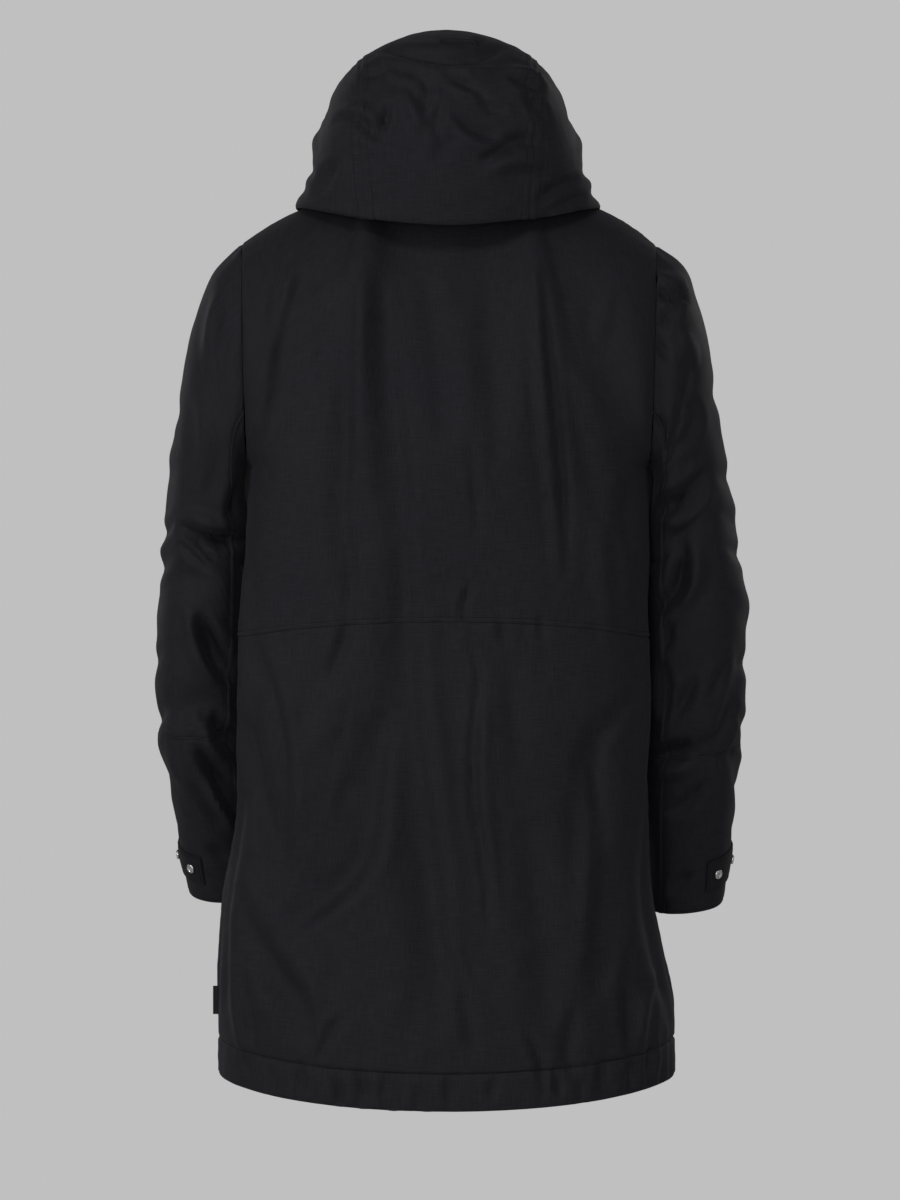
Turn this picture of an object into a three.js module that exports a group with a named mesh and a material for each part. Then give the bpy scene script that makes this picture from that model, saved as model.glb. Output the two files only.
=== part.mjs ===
// A hooded parka in the pose it is worn in: hood up, front closed, sleeves hanging.
// Millimetres, +Z up. The wearer faces -Y, so the back is +Y and the wearer's left is +X.
// The origin is in the middle of the neck opening, level with the base of the neck.
// A turn is in degrees, 0 at a ring's outer side and 90 at the back.
import * as THREE from "three";

// Cloth and sewing
const CLOTH = 3; // wall of the lightly padded shell
const FLAP_CLOTH = 2.5;
const TRIM_CLOTH = 1.5;
const SEAM_GAP = 0.3; // between two sewn pieces
const HOOD_TRIM = 0.25; // on each edge of the hood, whose seams bend tightly over its lower fold

// Levels of the body
const HEM_SIDE_Z = -871;
const HEM_BACK_DROP = 24;
const HEM_FRONT_DROP = 4;
const WAIST_SIDE_Z = -424;
const WAIST_BACK_RISE = 16;
const UNDERARM_Z = -250;

// Neck opening, a saddle that is highest at the sides of the neck
const NECK = {
  halfWidth: 80,
  middleY: -8,
  back: 70,
  front: 64,
  sideZ: 40,
  backDrop: 18,
  frontDrop: 85,
};
const COLLAR = { height: 48, lean: 7, frontRise: 26, backRise: 10 };

// Body panels above the underarm
const SHOULDER_ARCH = 5;
const SHOULDER_ROUND = { back: 1.35, front: 0.9 }; // how fully each panel rounds into the shoulder seam
const SHOULDER_ANGLE = 50; // share of the half panel, in degrees, that ends in the shoulder seam
const NECK_TURN = 36; // degrees past the shoulder seam in which the panel turns up into the collar
const NECK_PULL = 0.7;
const ARMHOLE_REACH = 46; // how far the armhole shapes the panel, in the same degrees
const CHEST_RUN = 10; // height below the underarm from which the panel's slope is taken

// Grid steps that the pieces on both sides of a seam share
const NECK_STEPS = 5; // in each quarter of the neck opening
const ARMHOLE_STEPS = 9; // in each half of the armhole
const ARMHOLE_TURN = 180 / ARMHOLE_STEPS;
const ARMHOLE_GAP_RUN = [0, 20]; // length of sleeve in which it moves out of the armhole by the gap

// Front flap, cuff tabs, snaps, label and the stitched slot of the hood
const FLAP = { left: 34, right: -32, lift: 0.8, foot: 0.02, head: 0.95 };
const TAB = { height: 30, from: -14, to: 66, aboveCuff: 34, level: 50, slope: 0.06, lift: 0.8 };
const SNAP = { radius: 5, rim: 4.2, eye: 2.4, height: 2.2, dish: 1.3, turns: [50, 6], sides: 14 };
const LABEL = { height: 29, stands: 6, thickness: 1.6, rise: 0.166 };
const SLOT = { columns: [87.3, 99.9], ats: [271, 283], cloth: 1 };

// How square the rings are, 0 being an ellipse
const BODY_SQUARE = 0.13;
const SLEEVE_SQUARE = 0.1;
const HOOD_SQUARE = 0.16;

// Hood: where it is sewn to the collar, and what the lengths from that seam bring in
const HOOD_SEAT = 0.34; // share of the collar's height
const HOOD_SEAT_GAP = 0.9;
const HOOD_SEAT_END = 18;
const HOOD_SQUARE_RUN = [60, 200];
const HOOD_SHIFT = 1; // the hood sits a little to the wearer's left
const HOOD_SHIFT_RUN = [60, 160];
const HOOD_SEAM_COLUMN = 52; // degrees of the half hood that the side panel takes
const HOOD_SEAM_X = 81.5; // half width of the middle panel
const HOOD_SEAM_MOST = 0.985; // of the hood's half width, where it is narrow

// Places over which the folds of each form come in and fade out
const BODY_FOLDS_RUN = { side: [0.05, 0.35], top: [2.6, 3] };
const SLEEVE_FOLDS_RUN = { armhole: [0, 60], cuff: [45, 10] };
const HOOD_FOLDS_RUN = { back: [0, 60], seam: [110, 160] };
const MM_PER_DEGREE = 1.05; // length round a sleeve of one degree, for its folds

// Colours
const SHELL = { color: 0x1e1f22, roughness: 0.62, metalness: 0 };
const TRIM = { color: 0x1a1b1d, roughness: 0.7, metalness: 0 };
const METAL = { color: 0xc9cacb, roughness: 0.28, metalness: 1 };

// Body rings: half widths to each side, how far the widest line lies back, and the depths
const BODY = [
  { z: -900, left: 236, right: 233, sideY: 4, back: 139, front: 134 },
  { z: -860, left: 236, right: 233, sideY: 6, back: 138, front: 134 },
  { z: -800, left: 235, right: 231, sideY: 10, back: 137, front: 133 },
  { z: -745, left: 232, right: 219, sideY: 18, back: 134, front: 131 },
  { z: -690, left: 228, right: 208, sideY: 28, back: 130, front: 129 },
  { z: -600, left: 215, right: 204, sideY: 36, back: 123, front: 127 },
  { z: -500, left: 213, right: 203, sideY: 40, back: 117, front: 126 },
  { z: -420, left: 211, right: 202, sideY: 40, back: 116, front: 126 },
  { z: -340, left: 207, right: 205, sideY: 34, back: 121, front: 128 },
  { z: -250, left: 205, right: 206, sideY: 15, back: 127, front: 126 },
];

// Sleeve rings from armhole to cuff: the outer point, the inner point and the half depth
const SLEEVE_LEFT = [
  { at: 0, outX: 211, outY: -3, outZ: -20, inX: 205, inY: 15, inZ: -250, depth: 70 },
  { at: 40, outX: 240, outY: -6, outZ: -46, inX: 208, inY: 8, inZ: -257, depth: 74 },
  { at: 78, outX: 257, outY: -9, outZ: -84, inX: 209, inY: 0, inZ: -266, depth: 77 },
  { at: 128, outX: 271, outY: -14, outZ: -134, inX: 207, inY: -12, inZ: -280, depth: 78 },
  { at: 192, outX: 280, outY: -20, outZ: -196, inX: 203, inY: -24, inZ: -302, depth: 76 },
  { at: 262, outX: 288, outY: -26, outZ: -268, inX: 202, inY: -32, inZ: -338, depth: 73 },
  { at: 335, outX: 294, outY: -31, outZ: -340, inX: 203, inY: -38, inZ: -382, depth: 70 },
  { at: 392, outX: 297, outY: -34, outZ: -397, inX: 204, inY: -42, inZ: -424, depth: 67 },
  { at: 450, outX: 300, outY: -37, outZ: -454, inX: 206, inY: -46, inZ: -468, depth: 65 },
  { at: 510, outX: 301, outY: -40, outZ: -514, inX: 207, inY: -48, inZ: -508, depth: 62 },
  { at: 545, outX: 295, outY: -48, outZ: -546, inX: 204, inY: -57, inZ: -540, depth: 60 },
  { at: 590, outX: 287, outY: -62, outZ: -588, inX: 199, inY: -72, inZ: -584, depth: 56 },
  { at: 645, outX: 281, outY: -82, outZ: -643, inX: 195, inY: -91, inZ: -640, depth: 52 },
  { at: 690, outX: 274, outY: -97, outZ: -688, inX: 191, inY: -105, inZ: -690, depth: 49 },
];
const SLEEVE_RIGHT = [
  { at: 0, outX: 213, outY: -3, outZ: -22, inX: 206, inY: 15, inZ: -250, depth: 70 },
  { at: 40, outX: 243, outY: -6, outZ: -42, inX: 209, inY: 8, inZ: -257, depth: 74 },
  { at: 78, outX: 257, outY: -9, outZ: -78, inX: 210, inY: 0, inZ: -266, depth: 77 },
  { at: 128, outX: 268, outY: -14, outZ: -116, inX: 208, inY: -12, inZ: -280, depth: 78 },
  { at: 192, outX: 276, outY: -20, outZ: -178, inX: 203, inY: -24, inZ: -302, depth: 76 },
  { at: 262, outX: 286, outY: -25, outZ: -248, inX: 200, inY: -31, inZ: -338, depth: 73 },
  { at: 335, outX: 296, outY: -29, outZ: -322, inX: 198, inY: -36, inZ: -382, depth: 70 },
  { at: 392, outX: 304, outY: -31, outZ: -392, inX: 198, inY: -38, inZ: -424, depth: 68 },
  { at: 450, outX: 305, outY: -33, outZ: -452, inX: 198, inY: -40, inZ: -470, depth: 66 },
  { at: 510, outX: 304, outY: -36, outZ: -510, inX: 199, inY: -42, inZ: -518, depth: 63 },
  { at: 550, outX: 302, outY: -42, outZ: -546, inX: 200, inY: -49, inZ: -552, depth: 60 },
  { at: 595, outX: 298, outY: -54, outZ: -590, inX: 200, inY: -62, inZ: -594, depth: 56 },
  { at: 650, outX: 295, outY: -72, outZ: -646, inX: 203, inY: -79, inZ: -648, depth: 52 },
  { at: 695, outX: 290, outY: -87, outZ: -696, inX: 206, inY: -94, inZ: -703, depth: 49 },
];
const ELBOW_LEFT = 515;
const ELBOW_RIGHT = 535;
const HIND_SEAM = 120; // turn from the outer line to the double-stitched seam

// Hood rings from the neck seam, under and over the lower fold, to the forehead edge:
// half width, middle of the side, middle of the back, and the arch over the head
const HOOD = [
  { at: 0, half: 82, sideY: -8, sideZ: 48, backY: 66, backZ: 31, arch: 2 },
  { at: 20, half: 104, sideY: -4, sideZ: 43, backY: 81, backZ: 24, arch: 2 },
  { at: 45, half: 128, sideY: 0, sideZ: 32, backY: 94, backZ: 9, arch: 2 },
  { at: 80, half: 156, sideY: 8, sideZ: 16, backY: 107, backZ: -10, arch: 2 },
  { at: 100, half: 151, sideY: 10, sideZ: 32, backY: 112, backZ: 4, arch: 2 },
  { at: 140, half: 139, sideY: 10, sideZ: 66, backY: 121, backZ: 50, arch: 1.7 },
  { at: 190, half: 128, sideY: 6, sideZ: 105, backY: 119, backZ: 104, arch: 1.4 },
  { at: 245, half: 113.5, sideY: 0, sideZ: 139, backY: 98, backZ: 156, arch: 1.4 },
  { at: 295, half: 102, sideY: -20, sideZ: 152, backY: 56, backZ: 188, arch: 1.6 },
  { at: 350, half: 96, sideY: -54, sideZ: 151, backY: -4, backZ: 199.5, arch: 1.6 },
  { at: 400, half: 93.4, sideY: -84, sideZ: 151, backY: -58, backZ: 190, arch: 1.4 },
  { at: 440, half: 92, sideY: -103, sideZ: 152, backY: -103, backZ: 176, arch: 1.2 },
];

// Edge of the hood beside the face, at the same lengths from the neck seam
const FACE_EDGE = [
  { at: 0, x: 39, y: -75, z: -15 },
  { at: 20, x: 43, y: -86, z: -7 },
  { at: 45, x: 49, y: -97, z: -14 },
  { at: 80, x: 57, y: -110, z: -16 },
  { at: 100, x: 62, y: -116, z: -4 },
  { at: 140, x: 78, y: -121, z: 30 },
  { at: 190, x: 92, y: -119, z: 72 },
  { at: 245, x: 97, y: -113, z: 112 },
  { at: 295, x: 97, y: -108, z: 134 },
  { at: 350, x: 95, y: -105, z: 146 },
  { at: 400, x: 93, y: -104, z: 151 },
  { at: 440, x: 91.9, y: -103, z: 152 },
];
const HOOD_TOP = HOOD.at(-1).at;
const HOOD_ATS = [0, 20, 42, 62, 80, 98, 118, 146, 176, 208, 240, 277, 305, 335, 365, 395, 420, HOOD_TOP];

// Largest folds of the body, as seen from behind (face 1) and in front (face -1):
// a line from one end to the other, its half width, and its height, negative for a trough
const BODY_FOLDS = [
  { face: 1, x0: 205, z0: -495, x1: 168, z1: -672, width: 20, height: -8 },
  { face: 1, x0: 66, z0: -490, x1: 160, z1: -690, width: 22, height: -9 },
  { face: 1, x0: 180, z0: -440, x1: 150, z1: -640, width: 24, height: 7 },
  { face: 1, x0: 40, z0: -445, x1: 12, z1: -640, width: 20, height: 5 },
  { face: 1, x0: -145, z0: -520, x1: -140, z1: -640, width: 22, height: -8 },
  { face: 1, x0: -40, z0: -470, x1: -44, z1: -640, width: 22, height: 5 },
  { face: 1, x0: 205, z0: -655, x1: 110, z1: -690, width: 24, height: -6 },
  { face: 1, x0: 110, z0: -90, x1: 105, z1: -390, width: 26, height: -4 },
  { face: 1, x0: 55, z0: -70, x1: 54, z1: -350, width: 24, height: -4 },
  { face: 1, x0: -100, z0: -80, x1: -115, z1: -350, width: 26, height: -5 },
  { face: -1, x0: 150, z0: -110, x1: 120, z1: -380, width: 28, height: -5 },
  { face: -1, x0: -148, z0: -120, x1: -112, z1: -400, width: 28, height: -6 },
  { face: -1, x0: 120, z0: -470, x1: 165, z1: -760, width: 26, height: -7 },
  { face: -1, x0: -105, z0: -500, x1: -150, z1: -800, width: 26, height: -6 },
  { face: -1, x0: 84, z0: -560, x1: 96, z1: -850, width: 24, height: 5 },
  { face: -1, x0: -92, z0: -430, x1: -84, z1: -700, width: 24, height: 5 },
];

// Largest folds of the sleeves, from one turn and length down the sleeve to another
const SLEEVE_FOLDS_LEFT = [
  { turn0: -20, at0: 505, turn1: 120, at1: 480, width: 16, height: -6 },
  { turn0: 30, at0: 535, turn1: 110, at1: 590, width: 16, height: 5 },
  { turn0: 100, at0: 330, turn1: 30, at1: 352, width: 17, height: -6 },
  { turn0: 95, at0: 300, turn1: 125, at1: 250, width: 20, height: -7 },
  { turn0: 120, at0: 430, turn1: 80, at1: 400, width: 16, height: -5 },
  { turn0: 20, at0: 60, turn1: 80, at1: 110, width: 18, height: -5 },
  { turn0: -40, at0: 310, turn1: -110, at1: 350, width: 18, height: -6 },
  { turn0: -50, at0: 560, turn1: -110, at1: 540, width: 16, height: -5 },
];
const SLEEVE_FOLDS_RIGHT = [
  { turn0: -10, at0: 545, turn1: 120, at1: 525, width: 16, height: -6 },
  { turn0: 15, at0: 430, turn1: 60, at1: 520, width: 16, height: -5 },
  { turn0: 120, at0: 290, turn1: 60, at1: 262, width: 20, height: -7 },
  { turn0: 110, at0: 100, turn1: 60, at1: 82, width: 18, height: -7 },
  { turn0: 100, at0: 200, turn1: 60, at1: 250, width: 18, height: -4 },
  { turn0: 35, at0: 372, turn1: -20, at1: 400, width: 14, height: 4 },
  { turn0: -40, at0: 330, turn1: -105, at1: 300, width: 18, height: -6 },
  { turn0: -50, at0: 540, turn1: -110, at1: 560, width: 16, height: -5 },
];

// Largest folds of the hood, as seen from behind
const HOOD_FOLDS = [
  { x0: 76, z0: 166, x1: 8, z1: 150, width: 13, height: -5 },
  { x0: 8, z0: 149, x1: -58, z1: 168, width: 13, height: -5 },
  { x0: 84, z0: 128, x1: 40, z1: 146, width: 13, height: -4 },
  { x0: -12, z0: 104, x1: -100, z1: 76, width: 15, height: -4 },
  { x0: 98, z0: 98, x1: 62, z1: 62, width: 15, height: 4 },
  { x0: -60, z0: 132, x1: -108, z1: 128, width: 12, height: 4 },
];

// Numbers of the method
const ALL_ROUND = [-400, 400]; // range of turns of a closed ring, with room past both ends
const NORMAL_STEP = { turn: 0.4, share: 0.004 };
const RUN_STEP = 8; // length of sleeve over which its direction is taken
const FOLD_END = 0.3; // share of a fold's length in which each end fades
const FRONT_SIDE = 1e-6; // keeps the front's side seam out of the back half of the ring
const FRONT_SEARCH = { from: -170, to: -10, times: 40 };

const degrees = THREE.MathUtils.degToRad;
const mix = THREE.MathUtils.lerp;
const ease = THREE.MathUtils.smoothstep;

// One column of a table at any place, on a smooth curve through its rows
function columnAt(rows, by, column, place) {
  const rising = rows[rows.length - 1][by] > rows[0][by] ? 1 : -1;
  let i = 0;
  while (i < rows.length - 2 && (place - rows[i + 1][by]) * rising > 0) i += 1;
  const slope = (k) => {
    const before = rows[Math.max(k - 1, 0)];
    const after = rows[Math.min(k + 1, rows.length - 1)];
    return (after[column] - before[column]) / (after[by] - before[by]);
  };
  const step = rows[i + 1][by] - rows[i][by];
  const t = THREE.MathUtils.clamp((place - rows[i][by]) / step, 0, 1);
  const start = rows[i][column];
  const end = rows[i + 1][column];
  const bend = slope(i) * step * (1 - t) - slope(i + 1) * step * t + (end - start) * (2 * t - 1);
  return mix(start, end, t) + t * (1 - t) * bend;
}

function rowAt(rows, by, place) {
  const row = {};
  for (const column of Object.keys(rows[0])) row[column] = columnAt(rows, by, column, place);
  return row;
}

// Height of a fold at a point (a, b) of the plane that its line is drawn in
function foldHeight(a, b, fold) {
  const alongA = fold.a1 - fold.a0;
  const alongB = fold.b1 - fold.b0;
  const length = Math.hypot(alongA, alongB);
  const along = ((a - fold.a0) * alongA + (b - fold.b0) * alongB) / length;
  const across = ((a - fold.a0) * alongB - (b - fold.b0) * alongA) / length;
  const risen = ease(along, -fold.width, length * FOLD_END);
  const left = 1 - ease(along, length * (1 - FOLD_END), length + fold.width);
  return fold.height * risen * left * Math.exp(-((across / fold.width) ** 2));
}

function sumOfFolds(folds, a, b, ends) {
  return folds.reduce((sum, fold) => sum + foldHeight(a, b, { ...fold, ...ends(fold) }), 0);
}

const endsInXZ = (fold) => ({ a0: fold.x0, b0: fold.z0, a1: fold.x1, b1: fold.z1 });
const endsOnSleeve = (fold) => ({
  a0: fold.turn0 * MM_PER_DEGREE,
  b0: fold.at0,
  a1: fold.turn1 * MM_PER_DEGREE,
  b1: fold.at1,
});

// Which side of the body a turn is on, and how far it is from that side's outer line
const sideOf = (turn) => (Math.cos(degrees(turn)) >= 0 ? 1 : -1);
const fromSideOf = (turn) => (sideOf(turn) > 0 ? Math.abs(turn) : 180 - Math.abs(turn));

const sleeveRows = (side) => (side > 0 ? SLEEVE_LEFT : SLEEVE_RIGHT);
const sleeveEnd = (side) => sleeveRows(side).at(-1).at;

// The neck opening
function neckline(turn) {
  const c = Math.cos(degrees(turn));
  const s = Math.sin(degrees(turn));
  const depth = s > 0 ? NECK.back : NECK.front;
  const drop = s > 0 ? NECK.backDrop : NECK.frontDrop;
  return new THREE.Vector3(NECK.halfWidth * c, NECK.middleY + depth * s, NECK.sideZ - drop * s * s);
}

// The stand collar, up 0 at the neck seam and 1 at its top edge
function collar(turn, up) {
  const point = neckline(turn);
  const inward = new THREE.Vector3(-point.x, NECK.middleY - point.y, 0).normalize();
  point.addScaledVector(inward, COLLAR.lean * up);
  const s = Math.sin(degrees(turn));
  point.z += (COLLAR.height + (s > 0 ? COLLAR.backRise : COLLAR.frontRise) * s * s) * up;
  return point;
}

// Middle of a sleeve ring, and the line across it from its inner to its outer point
function sleeveMiddle(side, at) {
  const row = rowAt(sleeveRows(side), "at", at);
  const sum = new THREE.Vector3(side * (row.outX + row.inX), row.outY + row.inY, row.outZ + row.inZ);
  return sum.divideScalar(2);
}

function sleeveAcross(side, at) {
  const row = rowAt(sleeveRows(side), "at", at);
  return new THREE.Vector3(side * (row.outX - row.inX), row.outY - row.inY, row.outZ - row.inZ);
}

// A ring of the sleeve of one side, without folds
function sleeveRing(side, turn, at) {
  const across = sleeveAcross(side, at);
  const half = across.length() / 2;
  across.normalize();
  const after = sleeveMiddle(side, Math.min(at + RUN_STEP, sleeveEnd(side)));
  const run = after.sub(sleeveMiddle(side, Math.max(at - RUN_STEP, 0)));
  const back = new THREE.Vector3().crossVectors(across, run);
  back.set(0, Math.abs(back.y), back.z * Math.sign(back.y)).normalize();
  const depth = columnAt(sleeveRows(side), "at", "depth", at);
  const c = Math.cos(degrees(turn));
  const s = Math.sin(degrees(turn));
  return sleeveMiddle(side, at)
    .addScaledVector(across, half * c * (1 + SLEEVE_SQUARE * s * s))
    .addScaledVector(back, depth * s * (1 + SLEEVE_SQUARE * c * c));
}

// The armhole of one side, up 0 under the arm and 1 at the shoulder tip, by the back or the front
function armhole(side, face, up) {
  return sleeveRing(side, face * 180 * (1 - up), 0);
}

// A body ring below the underarm
function bodyRing(turn, z) {
  const row = rowAt(BODY, "z", z);
  const c = Math.cos(degrees(turn));
  const s = Math.sin(degrees(turn));
  const width = c > 0 ? row.left : row.right;
  const depth = s > 0 ? row.back - row.sideY : row.front + row.sideY;
  return new THREE.Vector3(
    width * c * (1 + BODY_SQUARE * s * s),
    row.sideY + depth * s * (1 + BODY_SQUARE * c * c),
    z,
  );
}

// The upper edge of the front or back panel: shoulder seam, neck opening, shoulder seam
function panelTop(turn, face) {
  const side = sideOf(turn);
  const fromSide = fromSideOf(turn);
  if (fromSide > SHOULDER_ANGLE) {
    const share = (fromSide - SHOULDER_ANGLE) / (90 - SHOULDER_ANGLE);
    const point = neckline(face * 90 * share);
    point.x *= side;
    return point;
  }
  const share = fromSide / SHOULDER_ANGLE;
  const neck = neckline(0);
  neck.x *= side;
  const point = armhole(side, face, 1).lerp(neck, share);
  point.z += SHOULDER_ARCH * 4 * share * (1 - share);
  return point;
}

// A body panel above the underarm, up 0 at the underarm and 1 at the upper edge: each column is
// one curve that leaves along the chest and arrives over the shoulder seam or up the collar
function yoke(turn, up, face) {
  const start = bodyRing(turn, UNDERARM_Z);
  const end = panelTop(turn, face);
  const length = start.distanceTo(end);
  const leave = start.clone().sub(bodyRing(turn, UNDERARM_Z - CHEST_RUN)).setLength(length);
  const fromSide = fromSideOf(turn);
  const toNeck = ease(fromSide, SHOULDER_ANGLE, SHOULDER_ANGLE + NECK_TURN);
  const toMiddle = ease(fromSide, 0, 90);
  const upCollar = new THREE.Vector3(-end.x, NECK.middleY - end.y, 0).setLength(COLLAR.lean);
  upCollar.z = COLLAR.height;
  const roundness = face > 0 ? SHOULDER_ROUND.back : SHOULDER_ROUND.front;
  const arrive = new THREE.Vector3(0, -face, 0)
    .lerp(upCollar.normalize(), toNeck)
    .setLength(length * mix(roundness, NECK_PULL, toMiddle));
  return start
    .multiplyScalar(2 * up ** 3 - 3 * up ** 2 + 1)
    .addScaledVector(leave, up ** 3 - 2 * up ** 2 + up)
    .addScaledVector(end, -2 * up ** 3 + 3 * up ** 2)
    .addScaledVector(arrive, up ** 3 - up ** 2);
}

// The same panel, its side edges drawn to the armhole
function shapedYoke(turn, up, face) {
  const side = sideOf(turn);
  const pull = armhole(side, face, up).sub(yoke(side > 0 ? 0 : 180, up, face));
  return yoke(turn, up, face).addScaledVector(pull, 1 - ease(fromSideOf(turn), 0, ARMHOLE_REACH));
}

// The body, rise 0 at the hem, 1 at the waist seam, 2 at the underarm and 3 at the upper edge
function body(turn, rise) {
  const s = Math.sin(degrees(turn));
  const face = turn >= 0 ? 1 : -1;
  const hem = HEM_SIDE_Z - (s > 0 ? HEM_BACK_DROP : HEM_FRONT_DROP) * s * s;
  const waist = WAIST_SIDE_Z + (s > 0 ? WAIST_BACK_RISE : 0) * s * s;
  let point;
  if (rise <= 1) point = bodyRing(turn, mix(hem, waist, rise));
  else if (rise <= 2) point = bodyRing(turn, mix(waist, UNDERARM_Z, rise - 1));
  else point = shapedYoke(turn, rise - 2, face);
  const shown = ease(Math.abs(s), ...BODY_FOLDS_RUN.side) * (1 - ease(rise, ...BODY_FOLDS_RUN.top));
  const folds = BODY_FOLDS.filter((fold) => fold.face === face);
  point.y += face * sumOfFolds(folds, point.x, point.z, endsInXZ) * shown;
  return point;
}

// A sleeve with its folds, which fade before the armhole and the cuff
function sleeve(side, turn, at) {
  const point = sleeveRing(side, turn, at);
  const end = sleeveEnd(side);
  const [fadeFrom, fadeTo] = SLEEVE_FOLDS_RUN.cuff;
  const shown = ease(at, ...SLEEVE_FOLDS_RUN.armhole) * (1 - ease(at, end - fadeFrom, end - fadeTo));
  const wrapped = THREE.MathUtils.euclideanModulo(turn + 180, 360) - 180;
  const folds = side > 0 ? SLEEVE_FOLDS_LEFT : SLEEVE_FOLDS_RIGHT;
  const height = sumOfFolds(folds, wrapped * MM_PER_DEGREE, at, endsOnSleeve);
  const outward = point.clone().sub(sleeveMiddle(side, at)).normalize();
  return point.addScaledVector(outward, height * shown);
}

// The hood, column 0 at the left face edge, 90 at the middle of the back and 180 at the right
function hood(column, at) {
  const row = rowAt(HOOD, "at", at);
  const edge = rowAt(FACE_EDGE, "at", at);
  const side = column <= 90 ? 1 : -1;
  const fromEdge = side > 0 ? column : 180 - column;
  const front = -THREE.MathUtils.radToDeg(Math.acos(Math.min(edge.x / row.half, 1)));
  const seam = THREE.MathUtils.radToDeg(Math.acos(Math.min(HOOD_SEAM_X / row.half, HOOD_SEAM_MOST)));
  const turn =
    fromEdge < HOOD_SEAM_COLUMN
      ? mix(front, seam, fromEdge / HOOD_SEAM_COLUMN)
      : mix(seam, 90, (fromEdge - HOOD_SEAM_COLUMN) / (90 - HOOD_SEAM_COLUMN));
  const c = Math.cos(degrees(turn));
  const s = Math.sin(degrees(turn));
  const square = HOOD_SQUARE * ease(at, ...HOOD_SQUARE_RUN);
  const point = new THREE.Vector3(side * row.half * c * (1 + square * s * s), 0, 0);
  if (turn >= 0) {
    point.y = row.sideY + (row.backY - row.sideY) * s * (1 + square * c * c);
    point.z = row.sideZ + (row.backZ - row.sideZ) * s ** row.arch;
  } else {
    const share = s / Math.sin(degrees(front));
    point.y = mix(row.sideY, edge.y, share);
    point.z = mix(row.sideZ, edge.z, share ** 2);
  }
  const seat = collar(turn, HOOD_SEAT);
  seat.addScaledVector(new THREE.Vector3(seat.x, seat.y - NECK.middleY, 0).normalize(), HOOD_SEAT_GAP);
  seat.x *= side;
  point.lerp(seat, 1 - ease(at, 0, HOOD_SEAT_END));
  point.x += HOOD_SHIFT * ease(at, ...HOOD_SHIFT_RUN);
  const shown = ease(point.y, ...HOOD_FOLDS_RUN.back) * ease(at, ...HOOD_FOLDS_RUN.seam);
  point.y += sumOfFolds(HOOD_FOLDS, point.x, point.z, endsInXZ) * shown;
  return point;
}

// The front at any x, from the hem over the chest (rise 3) to the top of the collar (rise 4)
function frontAt(x, rise) {
  const place = (turn) => (rise > 3 ? collar(turn, rise - 3) : body(turn, rise));
  let low = FRONT_SEARCH.from;
  let high = FRONT_SEARCH.to;
  for (let time = 0; time < FRONT_SEARCH.times; time += 1) {
    const turn = (low + high) / 2;
    if (place(turn).x < x) low = turn;
    else high = turn;
  }
  return place((low + high) / 2);
}

// Outward normal of a surface, by small steps that stay inside the given ranges
function normalOf(surface, u, v, uRange, vRange, facing) {
  const stepV = (vRange[1] - vRange[0]) * NORMAL_STEP.share;
  const clampU = (value) => THREE.MathUtils.clamp(value, ...uRange);
  const clampV = (value) => THREE.MathUtils.clamp(value, ...vRange);
  const after = surface(clampU(u + NORMAL_STEP.turn), v);
  const alongU = after.sub(surface(clampU(u - NORMAL_STEP.turn), v));
  const alongV = surface(u, clampV(v + stepV)).sub(surface(u, clampV(v - stepV)));
  return alongU.cross(alongV).normalize().multiplyScalar(facing);
}

function steps(from, to, count) {
  return Array.from({ length: count + 1 }, (_, k) => mix(from, to, k / count));
}

// The points of a surface over a grid of places, its edges drawn back by trim for the seams
function trimmedGrid(surface, us, vs, trim) {
  const base = us.map((u) => vs.map((v) => surface(u, v)));
  const lastU = us.length - 1;
  const lastV = vs.length - 1;
  const drawBack = (i, j, nextI, nextJ) => {
    const alongU = nextI === i ? 1 : 0;
    const before = base[Math.max(i - alongU, 0)][Math.max(j - 1 + alongU, 0)];
    const after = base[Math.min(i + alongU, lastU)][Math.min(j + 1 - alongU, lastV)];
    const tangent = after.clone().sub(before).normalize();
    const inward = base[nextI][nextJ].clone().sub(base[i][j]);
    return inward.addScaledVector(tangent, -inward.dot(tangent)).setLength(trim);
  };
  const shifts = [];
  vs.forEach((_, j) => {
    shifts.push([0, j, drawBack(0, j, 1, j)], [lastU, j, drawBack(lastU, j, lastU - 1, j)]);
  });
  us.forEach((_, i) => {
    shifts.push([i, 0, drawBack(i, 0, i, 1)], [i, lastV, drawBack(i, lastV, i, lastV - 1)]);
  });
  for (const [i, j, shift] of shifts) base[i][j].add(shift);
  return base;
}

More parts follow.
